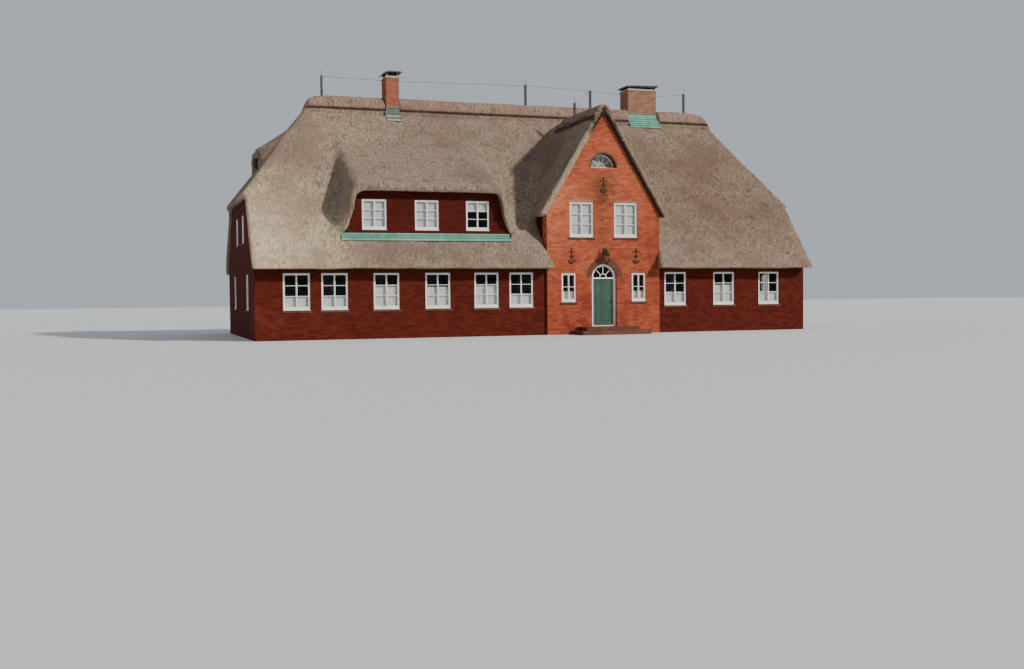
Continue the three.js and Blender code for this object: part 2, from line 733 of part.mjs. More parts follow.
// End walls, up to the thatch
for (const [name, hip] of Object.entries(HALF_HIPS)) {
  const end = wallGroup(hip.side * HALF_LENGTH, 0, (hip.side * Math.PI) / 2);
  const lower = [-END_WINDOW_OFFSET, END_WINDOW_OFFSET];
  const upper = [-END_UPPER_OFFSET, END_UPPER_OFFSET];
  const outline = [
    [-HALF_DEPTH, 0],
    [HALF_DEPTH, 0],
    [HALF_DEPTH, roofUnder(HALF_DEPTH) - GAP],
    [0, RIDGE_Z - THATCH_UPRIGHT - GAP],
    [-HALF_DEPTH, roofUnder(HALF_DEPTH) - GAP],
  ];
  const gable = alongY(shapeOf(outline), [0, WALL]);
  const lid = alongX(
    shapeOf([
      [-1, 0],
      [WALL + 1, 0],
      [WALL + 1, hipUnder(hip, HALF_LENGTH - WALL - 1) - GAP * 2],
      [-1, hipUnder(hip, HALF_LENGTH + 1) - GAP * 2],
    ]),
    [-FAR, FAR],
  );
  const wall = minusAll(gable.intersect(lid), [
    ...rowHoles(lower, HOUSE_WINDOW, WALL),
    ...rowHoles(upper, END_UPPER_WINDOW, WALL),
  ]);
  add(`end_wall_${name}`, wall, "darkBrick", end);
  add(`windows_end_${name}`, windowRow(lower, HOUSE_WINDOW), "paint", end);
  add(`windows_end_upper_${name}`, windowRow(upper, END_UPPER_WINDOW), "paint", end);
}

// Front gable
const gable = wallGroup(GABLE_X, GABLE_FACE_Y, 0);

function arch(radius, [from, to], floor) {
  const shape = new THREE.Shape();
  shape.moveTo(-radius, floor);
  shape.lineTo(radius, floor);
  shape.lineTo(radius, SPRINGING_Z);
  shape.absarc(0, SPRINGING_Z, radius, 0, Math.PI, false);
  shape.closePath();
  return alongY(shape, [from, to]);
}

function halfRound(radius, [from, to], base) {
  const shape = new THREE.Shape();
  shape.moveTo(-radius, base);
  shape.absarc(0, base, radius, Math.PI, 0, true);
  shape.closePath();
  return alongY(shape, [from, to]);
}

const gableBody = shift(
  belowGable(GAP, 0, [GABLE_FACE_Y, GABLE_FACE_Y + GABLE_WALL]),
  -GABLE_X,
  -GABLE_FACE_Y,
);
const gableWindows = [-GABLE_WINDOW_OFFSET, GABLE_WINDOW_OFFSET];
const gableHoles = [
  arch(DOORWAY_HALF, [-10, GABLE_WALL + 10], -10),
  opening(-SIDE_WINDOW_OFFSET, SIDE_WINDOW, GABLE_WALL),
  opening(SIDE_WINDOW_OFFSET, SIDE_WINDOW, GABLE_WALL),
  halfRound(LUNETTE.radius, [-10, GABLE_WALL + 10], LUNETTE.base),
  ...rowHoles(gableWindows, GABLE_WINDOW, GABLE_WALL),
];
const gableWall = minusAll(gableBody, gableHoles);
const lowPart = ([from, to]) => box([from, to], [-10, GABLE_WALL + 10], [-10, GABLE_SPLIT_Z]);
add("gable_wall_left", gableWall.intersect(lowPart([-FAR, 0])), "brick", gable);
add("gable_wall_right", gableWall.intersect(lowPart([0, FAR])), "brick", gable);
add(
  "gable_wall_upper",
  gableWall.subtract(box([-FAR, FAR], [-FAR, FAR], [-10, GABLE_SPLIT_Z + GAP])),
  "brick",
  gable,
);
add("windows_gable", windowRow(gableWindows, GABLE_WINDOW), "paint", gable);
add("window_beside_door_left", windowUnit(-SIDE_WINDOW_OFFSET, SIDE_WINDOW), "paint", gable);
add("window_beside_door_right", windowUnit(SIDE_WINDOW_OFFSET, SIDE_WINDOW), "paint", gable);

function lunetteWindow() {
  const { radius, base, from, to } = LUNETTE;
  const outer = halfRound(radius - 2 * GAP, [from, to], base + GAP);
  const inner = halfRound(radius - FRAME, [from - 1, to + 1], base + FRAME);
  const pane = halfRound(radius - 2 * GAP, [from + ROUND_PANE.from, from + ROUND_PANE.to], base + GAP);
  return outer.subtract(inner).add(pane);
}
add("window_lunette", lunetteWindow(), "paint", gable);

// Cheek walls, from the gable back to where the main thatch takes over
for (const [name, side] of [["left", -1], ["right", 1]]) {
  const backY = -(RIDGE_Z - THATCH_UPRIGHT - SHOULDER_Z) / ROOF_SLOPE;
  const outside = GABLE_HALF * side;
  const across = [outside, outside - side * CHEEK_WALL].sort((a, b) => a - b);
  const wall = box(across, [GABLE_WALL + GAP, backY - GABLE_FACE_Y], [UPPER_FLOOR_TOP + GAP, FAR]);
  const lid = shift(belowGable(GAP, 0, [-FAR, 0]), -GABLE_X, -GABLE_FACE_Y);
  add(`cheek_wall_${name}`, wall.intersect(lid), "darkBrick", gable);
}

// Front door

const jambHalf = DOORWAY_HALF - DOOR_FRAME.jamb;
const pinX = -jambHalf + LEAF.clear / 2;
const pinY = LEAF.back + HINGE.out;

// Half of each hinge: a knuckle on the pin's line and its plate, above or below the running gap.
function hingeHalves(side, plateX, plateY) {
  return HINGE.heights.map((height) => {
    const z = [height + (side * HINGE.run) / 2, height + side * HINGE.half].sort((a, b) => a - b);
    return rod([pinX, pinY, z[0]], [pinX, pinY, z[1]], HINGE.radius).add(box(plateX, plateY, z));
  });
}

function doorFrame() {
  const { from, to, transom, threshold } = DOOR_FRAME;
  const floor = LANDING.height + GAP;
  const outer = arch(DOORWAY_HALF - GAP, [from, to], floor);
  const half = jambHalf;
  const hatch = box([-half, half], [from - 1, to + 1], [floor + threshold, SPRINGING_Z - transom]);
  const light = halfRound(half, [from - 1, to + 1], SPRINGING_Z);
  const pane = halfRound(half + 5, [from + ROUND_PANE.from, from + ROUND_PANE.to], SPRINGING_Z - 5);
  const plateX = [pinX - HINGE.reach, pinX];
  const knuckles = hingeHalves(-1, plateX, [to - 1, pinY - HINGE.radius + 2]);
  const frame = outer.subtract(hatch).subtract(light).add(pane);
  return knuckles.reduce((whole, knuckle) => whole.add(knuckle), frame);
}
add("door_frame", doorFrame(), "paint", gable);

function doorLeaf() {
  const half = jambHalf - LEAF.clear;
  const z = [
    LANDING.height + DOOR_FRAME.threshold + LEAF.floor,
    SPRINGING_Z - DOOR_FRAME.transom - LEAF.clear,
  ];
  const leaf = box([-half, half], [LEAF.back - LEAF.thickness, LEAF.back], z);
  const plateY = [LEAF.back - 1, pinY - HINGE.radius + 2];
  const knuckles = hingeHalves(1, [pinX, pinX + HINGE.reach], plateY);
  return knuckles.reduce((whole, knuckle) => whole.add(knuckle), leaf);
}
add("door_leaf", doorLeaf(), "door", gable);

// Steps up to the door, with the sill block in the doorway
add(
  "entrance_steps",
  box([-LANDING.half, LANDING.half], [-LANDING.depth, -GAP], [0, LANDING.height])
    .add(box([-LOWER_STEP.half, LOWER_STEP.half], [-LOWER_STEP.depth, -GAP], [0, LOWER_STEP.height]))
    .add(
      box(
        [-DOORWAY_HALF + GAP, DOORWAY_HALF - GAP],
        [-SILL_BLOCK_OUT, GABLE_WALL - GAP],
        [0, LANDING.height],
      ),
    ),
  "brick",
  gable,
);

// Lantern over the door, on a bracket
function lantern() {
  const { out, outline, arm, plate } = LANTERN;
  const points = outline.map(([radius, height]) => new THREE.Vector2(radius, height));
  const body = new THREE.LatheGeometry(points, 6);
  body.rotateX(Math.PI / 2);
  body.translate(0, -out, 0);
  const bar = box([-arm.half, arm.half], [-out, -GAP], arm.z);
  const foot = box([-plate.half, plate.half], [-plate.thickness, -GAP], plate.z);
  return solid(body).add(bar).add(foot);
}
add("lantern", lantern(), "iron", gable);

// Wall anchors: a stock, a shank and two curved arms
function anchor() {
  const depth = [-ANCHOR.thickness, -GAP];
  const bars = ["shank", "stock", "eye"].map((bar) => {
    const { half, z } = ANCHOR[bar];
    return box([-half, half], depth, z);
  });
  const { radius, bar, raise, from, to } = ANCHOR.arms;
  const arms = new THREE.Shape();
  arms.absarc(0, radius, radius, Math.PI * from, Math.PI * to, false);
  arms.absarc(0, radius + raise, radius - bar, Math.PI * to, Math.PI * from, true);
  arms.closePath();
  return bars.reduce((whole, piece) => whole.add(piece), alongY(arms, depth, 10));
}
for (const [name, [x, z]] of Object.entries(ANCHORS)) {
  add(`wall_anchor_${name}`, anchor(), "iron", gable).position.set(x, 0, z);
}

// Dormer wall behind the swept hood
const dormer = wallGroup(0, DORMER_FACE_Y, 0);
const underHood = shift(
  hoodRoom(DORMER, layDormer, DORMER_FACE_Y - DORMER.front - ROOM_EXTRA, GAP * 2),
  0,
  -DORMER_FACE_Y,
);
add(
  "dormer_wall",
  minusAll(
    box([hoodFrom, hoodTo], [GAP, DORMER_WALL], [UPPER_FLOOR_TOP + GAP, FAR]).intersect(underHood),
    rowHoles(DORMER_WINDOWS, DORMER_WINDOW, DORMER_WALL),
  ),
  "darkBrick",
  dormer,
);
add("windows_dormer", windowRow(DORMER_WINDOWS, DORMER_WINDOW), "paint", dormer);

// Glazed strip under the eyebrow
const eyebrowStrip = box(
  [EYEBROW_FACE_X + GAP, EYEBROW_FACE_X + EYEBROW_WINDOW.thickness],
  [-EYEBROW_WINDOW.half, EYEBROW_WINDOW.half],
  [hipUnder(leftHip, -EYEBROW_FACE_X) + EYEBROW_WINDOW.sill, FAR],
).intersect(hoodRoom(EYEBROW, layEyebrow, EYEBROW_FACE_X - EYEBROW.front - ROOM_EXTRA, GAP * 2));
add("window_eyebrow", eyebrowStrip, "paint");

// Chimneys with their cowls and copper aprons

for (const [name, { x, y, top, flue }] of Object.entries(CHIMNEYS)) {
  const flueX = [(x[0] + x[1] - flue) / 2, (x[0] + x[1] + flue) / 2];
  const flueY = [(y[0] + y[1] - flue) / 2, (y[0] + y[1] + flue) / 2];
  const stack = box(x, y, [STACK_SPLIT_Z, top]);
  const shaft = box(flueX, flueY, [STACK_SPLIT_Z - 1, top + 1]);
  add(`chimney_${name}`, stack.subtract(shaft), "chimneyBrick");
  add(`chimney_base_${name}`, box(x, y, [GROUND_FLOOR_TOP + GAP, STACK_SPLIT_Z - GAP]), "chimneyBrick");

  const { overhang, plate, raise, leg } = COWLS[name];
  const plateX = [x[0] - overhang, x[1] + overhang];
  const plateY = [y[0] - overhang / 2, y[1] + overhang / 2];
  let cowl = box(plateX, plateY, [top + raise, top + raise + plate]);
  for (const cornerX of [x[0] + leg, x[1] - leg]) {
    for (const cornerY of [y[0] + leg, y[1] - leg]) {
      cowl = cowl.add(
        box(
          [cornerX - leg / 2, cornerX + leg / 2],
          [cornerY - leg / 2, cornerY + leg / 2],
          [top + GAP, top + raise + 1],
        ),
      );
    }
  }
  add(`chimney_cowl_${name}`, cowl, "iron");

  const { margin, length } = FLASHINGS[name];
  const fromY = y[0] - GAP;
  const stepY = fromY - UPSTAND.thickness;
  const toY = fromY - length * cosine(51.5);
  const lift = SHEET / cosine(51.5);
  const outline = [
    [fromY, roofTop(fromY) + GAP * 2],
    [fromY, roofTop(fromY) + lift + UPSTAND.height],
    [stepY, roofTop(stepY) + lift + UPSTAND.height],
    [stepY, roofTop(stepY) + lift],
    [toY, roofTop(toY) + lift],
    [toY, roofTop(toY) + GAP * 2],
  ];
  const sheet = alongX(shapeOf(outline), [x[0] - margin, x[1] + margin]);
  add(`flashing_${name}`, sheet, "copper");
}

// Copper apron below the dormer windows, in folded steps
function dormerFlashing() {
  const { centre, half, top, folds, foot, edge } = DORMER_APRON;
  const wallY = DORMER_FACE_Y - GAP;
  const footY = DORMER_FACE_Y - foot;
  const outline = [
    [wallY, roofTop(wallY) + GAP * 2],
    [wallY, top],
    ...folds.map(([out, down]) => [DORMER_FACE_Y - out, top + down]),
    [footY, roofTop(footY) + edge],
    [footY, roofTop(footY) + GAP * 2],
  ];
  const sheet = alongX(shapeOf(outline), [centre - half, centre + half]);
  return minusAll(sheet, [dormerShell.translate([0, 0, -GAP]), dormerShell.translate([0, -GAP, -GAP])]);
}
add("flashing_dormer", dormerFlashing(), "copper");

// Lightning conductors: posts on the ridge, joined by a taut wire

function rod([x0, y0, z0], [x1, y1, z1], radius) {
  const from = new THREE.Vector3(x0, y0, z0);
  const to = new THREE.Vector3(x1, y1, z1);
  const length = from.distanceTo(to);
  const geometry = new THREE.CylinderGeometry(radius, radius, length, 8);
  geometry.translate(0, length / 2, 0);
  const along = to.clone().sub(from).normalize();
  geometry.applyQuaternion(new THREE.Quaternion().setFromUnitVectors(new THREE.Vector3(0, 1, 0), along));
  geometry.translate(x0, y0, z0);
  return solid(geometry);
}

// A post stands on the heather roll below it, cut to its curve.
function post([x, y, top], roll) {
  const half = POST.size / 2;
  const foot = roll.intersect(box([x - half, x + half], [y - half, y + half], [0, FAR]));
  const bed = foot.boundingBox().max[2] - POST.bed;
  const shaft = box([x - half, x + half], [y - half, y + half], [bed, top]);
  return shaft
    .subtract(roll.translate([0, 0, GAP]))
    .add(rod([x, y, top - POST.socket], [x, y, top + POST.spikeLength], POST.spike));
}

const topOf = ([x, y, top]) => [x, y, top - POST.knot];
const wireTo = (a, b) => rod(topOf(a), b, POST.wire);
const { clear, left: leftWireZ, right: rightWireZ } = WIRE_ENDS;
add(
  "conductor_left",
  post(POSTS.left, ridge).add(wireTo(POSTS.left, [leftStack.x[0] - clear, 0, leftWireZ])),
  "iron",
);
add(
  "conductor_middle",
  post(POSTS.middle, ridge)
    .add(post(POSTS.centre, ridge))
    .add(post(POSTS.gable, gableRoll))
    .add(wireTo(POSTS.middle, [leftStack.x[1] + clear, 0, leftWireZ]))
    .add(wireTo(POSTS.middle, topOf(POSTS.centre)))
    .add(wireTo(POSTS.centre, [rightStack.x[0] - clear, 0, rightWireZ]))
    .add(wireTo(POSTS.gable, topOf(POSTS.centre))),
  "iron",
);
add(
  "conductor_right",
  post(POSTS.right, ridge).add(wireTo(POSTS.right, [rightStack.x[1] + clear, 0, rightWireZ])),
  "iron",
);

export default house;
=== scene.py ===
import math
import random

import bmesh
import bpy
from mathutils import Matrix, Vector, noise


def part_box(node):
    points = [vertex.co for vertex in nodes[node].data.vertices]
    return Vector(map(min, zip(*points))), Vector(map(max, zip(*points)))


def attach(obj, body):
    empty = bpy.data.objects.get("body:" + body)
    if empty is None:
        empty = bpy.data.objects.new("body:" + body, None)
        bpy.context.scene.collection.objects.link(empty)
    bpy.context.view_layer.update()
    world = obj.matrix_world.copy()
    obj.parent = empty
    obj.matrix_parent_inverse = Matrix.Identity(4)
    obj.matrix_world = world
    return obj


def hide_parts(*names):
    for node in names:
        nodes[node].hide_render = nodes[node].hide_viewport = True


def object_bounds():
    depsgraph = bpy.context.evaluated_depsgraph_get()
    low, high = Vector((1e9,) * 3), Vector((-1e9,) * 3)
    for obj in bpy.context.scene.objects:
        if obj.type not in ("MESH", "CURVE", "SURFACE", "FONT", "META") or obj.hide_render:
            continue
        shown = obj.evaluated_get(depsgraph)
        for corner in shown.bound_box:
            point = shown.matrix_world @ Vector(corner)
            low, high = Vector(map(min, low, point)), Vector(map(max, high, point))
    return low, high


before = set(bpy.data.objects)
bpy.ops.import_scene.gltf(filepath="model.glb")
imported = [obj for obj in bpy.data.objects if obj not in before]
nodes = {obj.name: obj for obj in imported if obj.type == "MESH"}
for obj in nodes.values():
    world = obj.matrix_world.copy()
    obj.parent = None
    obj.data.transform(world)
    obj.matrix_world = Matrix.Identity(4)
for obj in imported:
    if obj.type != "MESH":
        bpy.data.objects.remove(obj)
cadLow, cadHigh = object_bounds()
random.seed(7)
scene = bpy.context.scene
print("frame loaded:", len(nodes), "nodes")

# Camera and light

cameraSetup = {
    "place": (-15.929, -45.876, 1.6), "right": (0.94432, -0.3289, -0.00992),
    "up": (0.02117, 0.03064, 0.99931), "lens": 39.12, "sensor": 36.0, "clip": (0.5, 400.0),
}


def addCamera(setup):
    data = bpy.data.cameras.new("camera")
    data.lens, data.sensor_width = setup["lens"], setup["sensor"]
    data.clip_start, data.clip_end = setup["clip"]
    camera = bpy.data.objects.new("camera", data)
    right = Vector(setup["right"]).normalized()
    back = right.cross(Vector(setup["up"])).normalized()
    turn = Matrix((right, back.cross(right), back)).transposed()
    camera.matrix_world = Matrix.Translation(setup["place"]) @ turn.to_4x4()
    scene.collection.objects.link(camera)
    scene.camera = camera


lighting = {
    "sunFrom": (0.6, -0.62, 0.5), "sunPower": 4.2,
    "sunSoftness": 3.0,  # degrees across
    "sunColor": (1.0, 0.96, 0.9), "skyColor": (0.82, 0.9, 1.0), "skyPower": 0.55,
}


def addLight(setup):
    sun = bpy.data.lights.new("sun", "SUN")
    sun.energy, sun.color = setup["sunPower"], setup["sunColor"]
    sun.angle = math.radians(setup["sunSoftness"])
    lamp = bpy.data.objects.new("sun", sun)
    lamp.rotation_euler = Vector(setup["sunFrom"]).to_track_quat("Z", "Y").to_euler()
    scene.collection.objects.link(lamp)
    world = bpy.data.worlds.new("sky")
    world.use_nodes = True
    background = world.node_tree.nodes["Background"]
    background.inputs["Color"].default_value = (*setup["skyColor"], 1)
    background.inputs["Strength"].default_value = setup["skyPower"]
    scene.world = world


addCamera(cameraSetup)
addLight(lighting)

# Materials


def newMaterial(name, color=(0.5, 0.5, 0.5), roughness=0.8, metallic=0.0, specular=0.3):
    material = bpy.data.materials.new(name)
    material.use_nodes = True
    shader = material.node_tree.nodes["Principled BSDF"]
    shader.inputs["Base Color"].default_value = (*color, 1)
    shader.inputs["Roughness"].default_value = roughness
    shader.inputs["Metallic"].default_value = metallic
    shader.inputs["Specular IOR Level"].default_value = specular
    return material, material.node_tree, shader


def setInput(tree, socket, value):
    if isinstance(value, bpy.types.NodeSocket):
        tree.links.new(value, socket)
    elif isinstance(value, tuple) and socket.type == "RGBA":
        socket.default_value = (*value, 1)
    else:
        socket.default_value = value


def addNode(tree, kind, inputs=None, **settings):
    node = tree.nodes.new("ShaderNode" + kind)
    for key, value in settings.items():
        setattr(node, key, value)
    for key, value in (inputs or {}).items():
        setInput(tree, node.inputs[key], value)
    return node


def objectPlace(tree):
    return addNode(tree, "TexCoord").outputs["Object"]


def scaled(tree, vector, scale):
    return addNode(tree, "VectorMath", {0: vector, 1: scale}, operation="MULTIPLY").outputs[0]


def noiseAt(tree, vector, scale, detail=3.0, roughness=0.5):
    inputs = {"Vector": vector, "Scale": scale, "Detail": detail, "Roughness": roughness}
    return addNode(tree, "TexNoise", inputs).outputs["Fac"]


def ranged(tree, value, low, high, toLow=0.0, toHigh=1.0):
    inputs = {"Value": value, "From Min": low, "From Max": high, "To Min": toLow, "To Max": toHigh}
    return addNode(tree, "MapRange", inputs, clamp=True).outputs[0]


def calc(tree, operation, a, b=0.0):
    return addNode(tree, "Math", {0: a, 1: b}, operation=operation).outputs[0]


def weighted(tree, values, shares):
    total = 0.0
    for value, share in zip(values, shares):
        total = calc(tree, "ADD", total, calc(tree, "MULTIPLY", value, share))
    return total


def mixed(tree, share, a, b, blend="MIX"):
    inputs = {0: share, 6: a, 7: b}  # the sockets that mix colours
    return addNode(tree, "Mix", inputs, data_type="RGBA", blend_type=blend).outputs[2]


def readFac(tree, name):
    return addNode(tree, "Attribute", attribute_name=name).outputs["Fac"]


def bumped(tree, shader, height, strength, distance):
    inputs = {"Height": height, "Strength": strength, "Distance": distance}
    tree.links.new(addNode(tree, "Bump", inputs).outputs[0], shader.inputs["Normal"])


def normalParts(tree, which="True Normal"):
    normal = addNode(tree, "NewGeometry").outputs[which]
    return addNode(tree, "SeparateXYZ", {0: normal}).outputs


def facingShare(tree, normal, axis, least):
    return calc(tree, "GREATER_THAN", calc(tree, "ABSOLUTE", normal[axis]), least)


def patched(tree, place, color, patches, core, ragged=1.0):
    for centre, reach, tint, amount in patches:  # each is strongest inside its core
        away = addNode(tree, "VectorMath", {0: place, 1: centre}, operation="SUBTRACT").outputs[0]
        away = scaled(tree, away, tuple(1 / r for r in reach))
        away = addNode(tree, "VectorMath", {0: away}, operation="LENGTH").outputs["Value"]
        share = calc(tree, "MULTIPLY", ranged(tree, away, 1.0, core, 0.0, amount), ragged)
        color = mixed(tree, share, color, tint, "MULTIPLY")
    return color


# Brick in stretcher bond: the shader of the bed and the laid bricks share one pattern
brickLook = {
    "length": 0.25,  # a brick with its joint
    "course": 0.083,
    "joint": 0.005,  # half of a joint
    "proud": 0.005, "jointBlur": 0.3,
    "uneven": (9.0, 2.0),  # scale, detail and roughness of a noise
    "cloud": (0.7, 5.0, 0.6), "cloudRange": (0.35, 0.7), "cloudTint": (0.5, 0.42, 0.4),
    "grain": (60.0, 3.0, 0.7), "grainRange": (0.3, 0.75, 0.75, 1.15), "ragged": (2.6, 4.0),
    "raggedRange": (0.25, 0.6), "stainAndShadeCore": 0.25, "bump": (0.7, 0.006),
    "bedFacing": 0.9, "bondFacing": 0.7, "surface": {"roughness": 0.9, "specular": 0.08},
}
brickColors = {  # dark, light, joints
    "wallRed": [(0.078, 0.01, 0.006), (0.13, 0.019, 0.011), (0.098, 0.036, 0.025)],
    # the wall's red brick made darker still: painted shade for the dormer wall under its hood
    "dormerShadedRed": [(0.066, 0.01, 0.006), (0.1, 0.015, 0.009), (0.062, 0.018, 0.012)],
    "gableOrange": [(0.34, 0.07, 0.034), (0.52, 0.13, 0.058), (0.38, 0.17, 0.1)],
    "stackPink": [(0.27, 0.125, 0.08), (0.37, 0.19, 0.13), (0.3, 0.22, 0.16)],
    "stackRed": [(0.29, 0.085, 0.05), (0.4, 0.135, 0.082), (0.3, 0.19, 0.14)],
    "sillBrown": [(0.13, 0.045, 0.03), (0.19, 0.075, 0.05), (0.17, 0.12, 0.1)],
}


def brickMaterial(name, colorName, cloudy=0.35, stainsAndShade=(), laid=False, bedAxes=()):
    look, (dark, light, joint) = brickLook, brickColors[colorName]
    material, tree, shader = newMaterial(name, **look["surface"])
    place = objectPlace(tree)
    if laid:  # one tone for each brick, kept on its corners
        color = mixed(tree, readFac(tree, "tone"), dark, light)
        height = noiseAt(tree, place, *look["uneven"])
    else:
        color, height = bondPattern(tree, place, dark, light, joint)
        normal = normalParts(tree)
        for axis in bedAxes:  # behind the laid bricks only mortar shows
            facing = facingShare(tree, normal, axis, look["bedFacing"])
            color = mixed(tree, facing, color, joint)
    cloud = ranged(tree, noiseAt(tree, place, *look["cloud"]), *look["cloudRange"], 0.0, cloudy)
    color = mixed(tree, cloud, color, look["cloudTint"], "MULTIPLY")
    grain = ranged(tree, noiseAt(tree, place, *look["grain"]), *look["grainRange"])
    grey = addNode(tree, "CombineXYZ", {0: grain, 1: grain, 2: grain}).outputs[0]
    color = mixed(tree, 1.0, color, grey, "MULTIPLY")
    # patches of stains and of painted shade
    if stainsAndShade:
        ragged = ranged(tree, noiseAt(tree, place, *look["ragged"]), *look["raggedRange"])
        color = patched(tree, place, color, stainsAndShade, look["stainAndShadeCore"], ragged)
    setInput(tree, shader.inputs["Base Color"], color)
    bumped(tree, shader, height, *look["bump"])
    return material


def bondPattern(tree, place, dark, light, joint):
    split = addNode(tree, "SeparateXYZ", {0: place}).outputs
    normal = normalParts(tree)
    facing = brickLook["bondFacing"]
    facesSide, facesUp = (facingShare(tree, normal, axis, facing) for axis in (0, 2))
    along = addNode(tree, "Mix", {0: facesSide, 2: split[0], 3: split[1]}).outputs[0]
    rise = addNode(tree, "Mix", {0: facesUp, 2: split[2], 3: split[1]}).outputs[0]
    inputs = {
        "Vector": addNode(tree, "CombineXYZ", {0: along, 1: rise}).outputs[0],
        "Color1": dark, "Color2": light, "Mortar": joint, "Scale": 1.0, "Bias": 0.0,
        "Mortar Size": brickLook["joint"], "Mortar Smooth": brickLook["jointBlur"],
        "Brick Width": brickLook["length"], "Row Height": brickLook["course"],
    }
    bricks = addNode(tree, "TexBrick", inputs)
    return bricks.outputs["Color"], calc(tree, "SUBTRACT", 1.0, bricks.outputs["Fac"])


# Tinted patches: centre, reach, tint and how strongly. On the gable: rain-run streaks below the
# lunette, painted shade under the thatch at the apex, darker towards the bottom and at the lower
# right, paler at the left edge; on the front wall, paler at the left corner
gableStainsAndShade = [
    ((2.18, -5.1, 5.75), (0.9, 3.0, 0.9), (0.42, 0.62, 0.62), 0.9),
    ((2.18, -5.1, 4.3), (0.7, 3.0, 2.0), (0.6, 0.72, 0.75), 0.8),
    ((2.18, -5.1, 0.2), (4.5, 3.0, 4.2), (0.66, 0.48, 0.55), 1.0),
    ((4.4, -5.1, 3.4), (1.4, 3.0, 2.6), (0.7, 0.62, 0.62), 0.9),
    # painted shade: the brick under the thatch at the apex is made darker
    ((2.18, -5.1, 8.6), (1.3, 3.0, 0.8), (0.55, 0.42, 0.38), 1.0),
    ((-0.1, -5.1, 4.8), (1.9, 3.0, 2.2), (1.35, 1.5, 1.6), 0.9),
]
wallStains = [((-11.5, -5.0, 0.8), (2.4, 2.0, 1.25), (1.45, 1.6, 1.6), 0.8)]
wallBrick = brickMaterial("dark red brick", "wallRed")
wallBed = brickMaterial("dark red brick bed", "wallRed", stainsAndShade=wallStains, bedAxes=(1,))
endBed = brickMaterial("end wall bed", "wallRed", stainsAndShade=wallStains, bedAxes=(0, 1))
wallLaid = brickMaterial("dark red laid brick", "wallRed", stainsAndShade=wallStains, laid=True)
# the dormer wall's brick, darkened as painted shade
dormerBedShaded = brickMaterial("dormer wall bed in painted shade", "dormerShadedRed", bedAxes=(1,))
dormerLaidShaded = brickMaterial("dormer wall brick in painted shade", "dormerShadedRed", laid=True)
gableBed = brickMaterial("orange brick bed", "gableOrange", 0.3, gableStainsAndShade, bedAxes=(1,))
gableLaid = brickMaterial("orange brick", "gableOrange", 0.3, gableStainsAndShade, laid=True)
stackBrick = brickMaterial("chimney base brick", "stackPink", 0.45)
stackBed = brickMaterial("chimney brick bed", "stackPink", 0.45, bedAxes=(0, 1))
stackPinkLaid = brickMaterial("right chimney brick", "stackPink", 0.4, laid=True)
stackRedLaid = brickMaterial("left chimney brick", "stackRed", 0.4, laid=True)
sillBrick = brickMaterial("brown brick", "sillBrown", 0.4)

reedGrain = {
    "surface": {"roughness": 0.95, "specular": 0.08},
    "leanRange": (-0.15, 0.15),
    "streaks": (18.0, 5.0),  # across the reeds and along them
    "streakNoise": (1.0, 5.0, 0.72), "speck": (13.0, 5.0, 0.75), "tuft": (2.2, 5.0, 0.65),
    "cloud": (0.45, 5.0, 0.6), "toneShares": (0.45, 0.35, 0.2),
    "middleRange": (0.4, 0.51), "lightRange": (0.49, 0.61),
    "tuftRange": (0.5, 0.68, 0.0, 0.45), "cloudRange": (0.46, 0.62, 0.0, 0.6),
    "cutShade": 0.42, "cutRange": (0.35, 0.65), "weatherCore": 0.2,
    "shadeTint": (0.16, 0.13, 0.11), "bumpShares": (0.7, 0.6), "bump": (0.9, 0.05),
}


def reedMaterial(name, look):
    grain, (dark, middle, light) = reedGrain, look["colors"]
    material, tree, shader = newMaterial(name, **grain["surface"])
    place, normal = objectPlace(tree), normalParts(tree, "Normal")
    lean = calc(tree, "SUBTRACT", *[calc(tree, "ABSOLUTE", normal[axis]) for axis in (0, 1)])
    sideways = ranged(tree, lean, *grain["leanRange"])
    across, along = grain["streaks"]
    streaks = [  # reeds run down the slope
        noiseAt(tree, scaled(tree, place, scale), *grain["streakNoise"])
        for scale in ((across, along, along), (along, across, along))
    ]
    reed = addNode(tree, "Mix", {0: sideways, 2: streaks[0], 3: streaks[1]}).outputs[0]
    speck, tuft, cloud = (noiseAt(tree, place, *grain[kind]) for kind in ("speck", "tuft", "cloud"))
    tone = weighted(tree, (reed, speck, tuft), grain["toneShares"])
    color = mixed(tree, ranged(tree, tone, *grain["middleRange"]), dark, middle)
    color = mixed(tree, ranged(tree, tone, *grain["lightRange"]), color, light)
    color = mixed(tree, ranged(tree, tuft, *grain["tuftRange"]), color, look["patch"])
    color = mixed(tree, ranged(tree, cloud, *grain["cloudRange"]), color, look["patch"])
    shaded = tuple(grain["cutShade"] * c for c in look["cutEnd"])
    ends = mixed(tree, ranged(tree, speck, *grain["cutRange"]), shaded, look["cutEnd"])
    color = mixed(tree, readFac(tree, "cut"), color, ends)
    color = patched(tree, place, color, look["weather"], grain["weatherCore"])
    color = mixed(tree, readFac(tree, "shade"), color, grain["shadeTint"], "MULTIPLY")
    setInput(tree, shader.inputs["Base Color"], color)
    bumped(tree, shader, weighted(tree, (reed, speck), grain["bumpShares"]), *grain["bump"])
    return material


mottle = {"noise": (5.0, 0.62), "range": (0.35, 0.65), "finer": 9, "bump": 0.35}


def noisyMaterial(name, darker, lighter, scale=4.0, roughness=0.6, metallic=0.0, rough=0.002):
    material, tree, shader = newMaterial(name, lighter, roughness, metallic)
    place = objectPlace(tree)
    patches = noiseAt(tree, place, scale, *mottle["noise"])
    color = mixed(tree, ranged(tree, patches, *mottle["range"]), darker, lighter)
    setInput(tree, shader.inputs["Base Color"], color)
    bumped(tree, shader, noiseAt(tree, place, scale * mottle["finer"]), mottle["bump"], rough)
    return material


def glassMaterial(name, color, roughness, specular, alpha):
    material, _, shader = newMaterial(name, color, roughness, specular=specular)
    shader.inputs["Alpha"].default_value = alpha
    return material


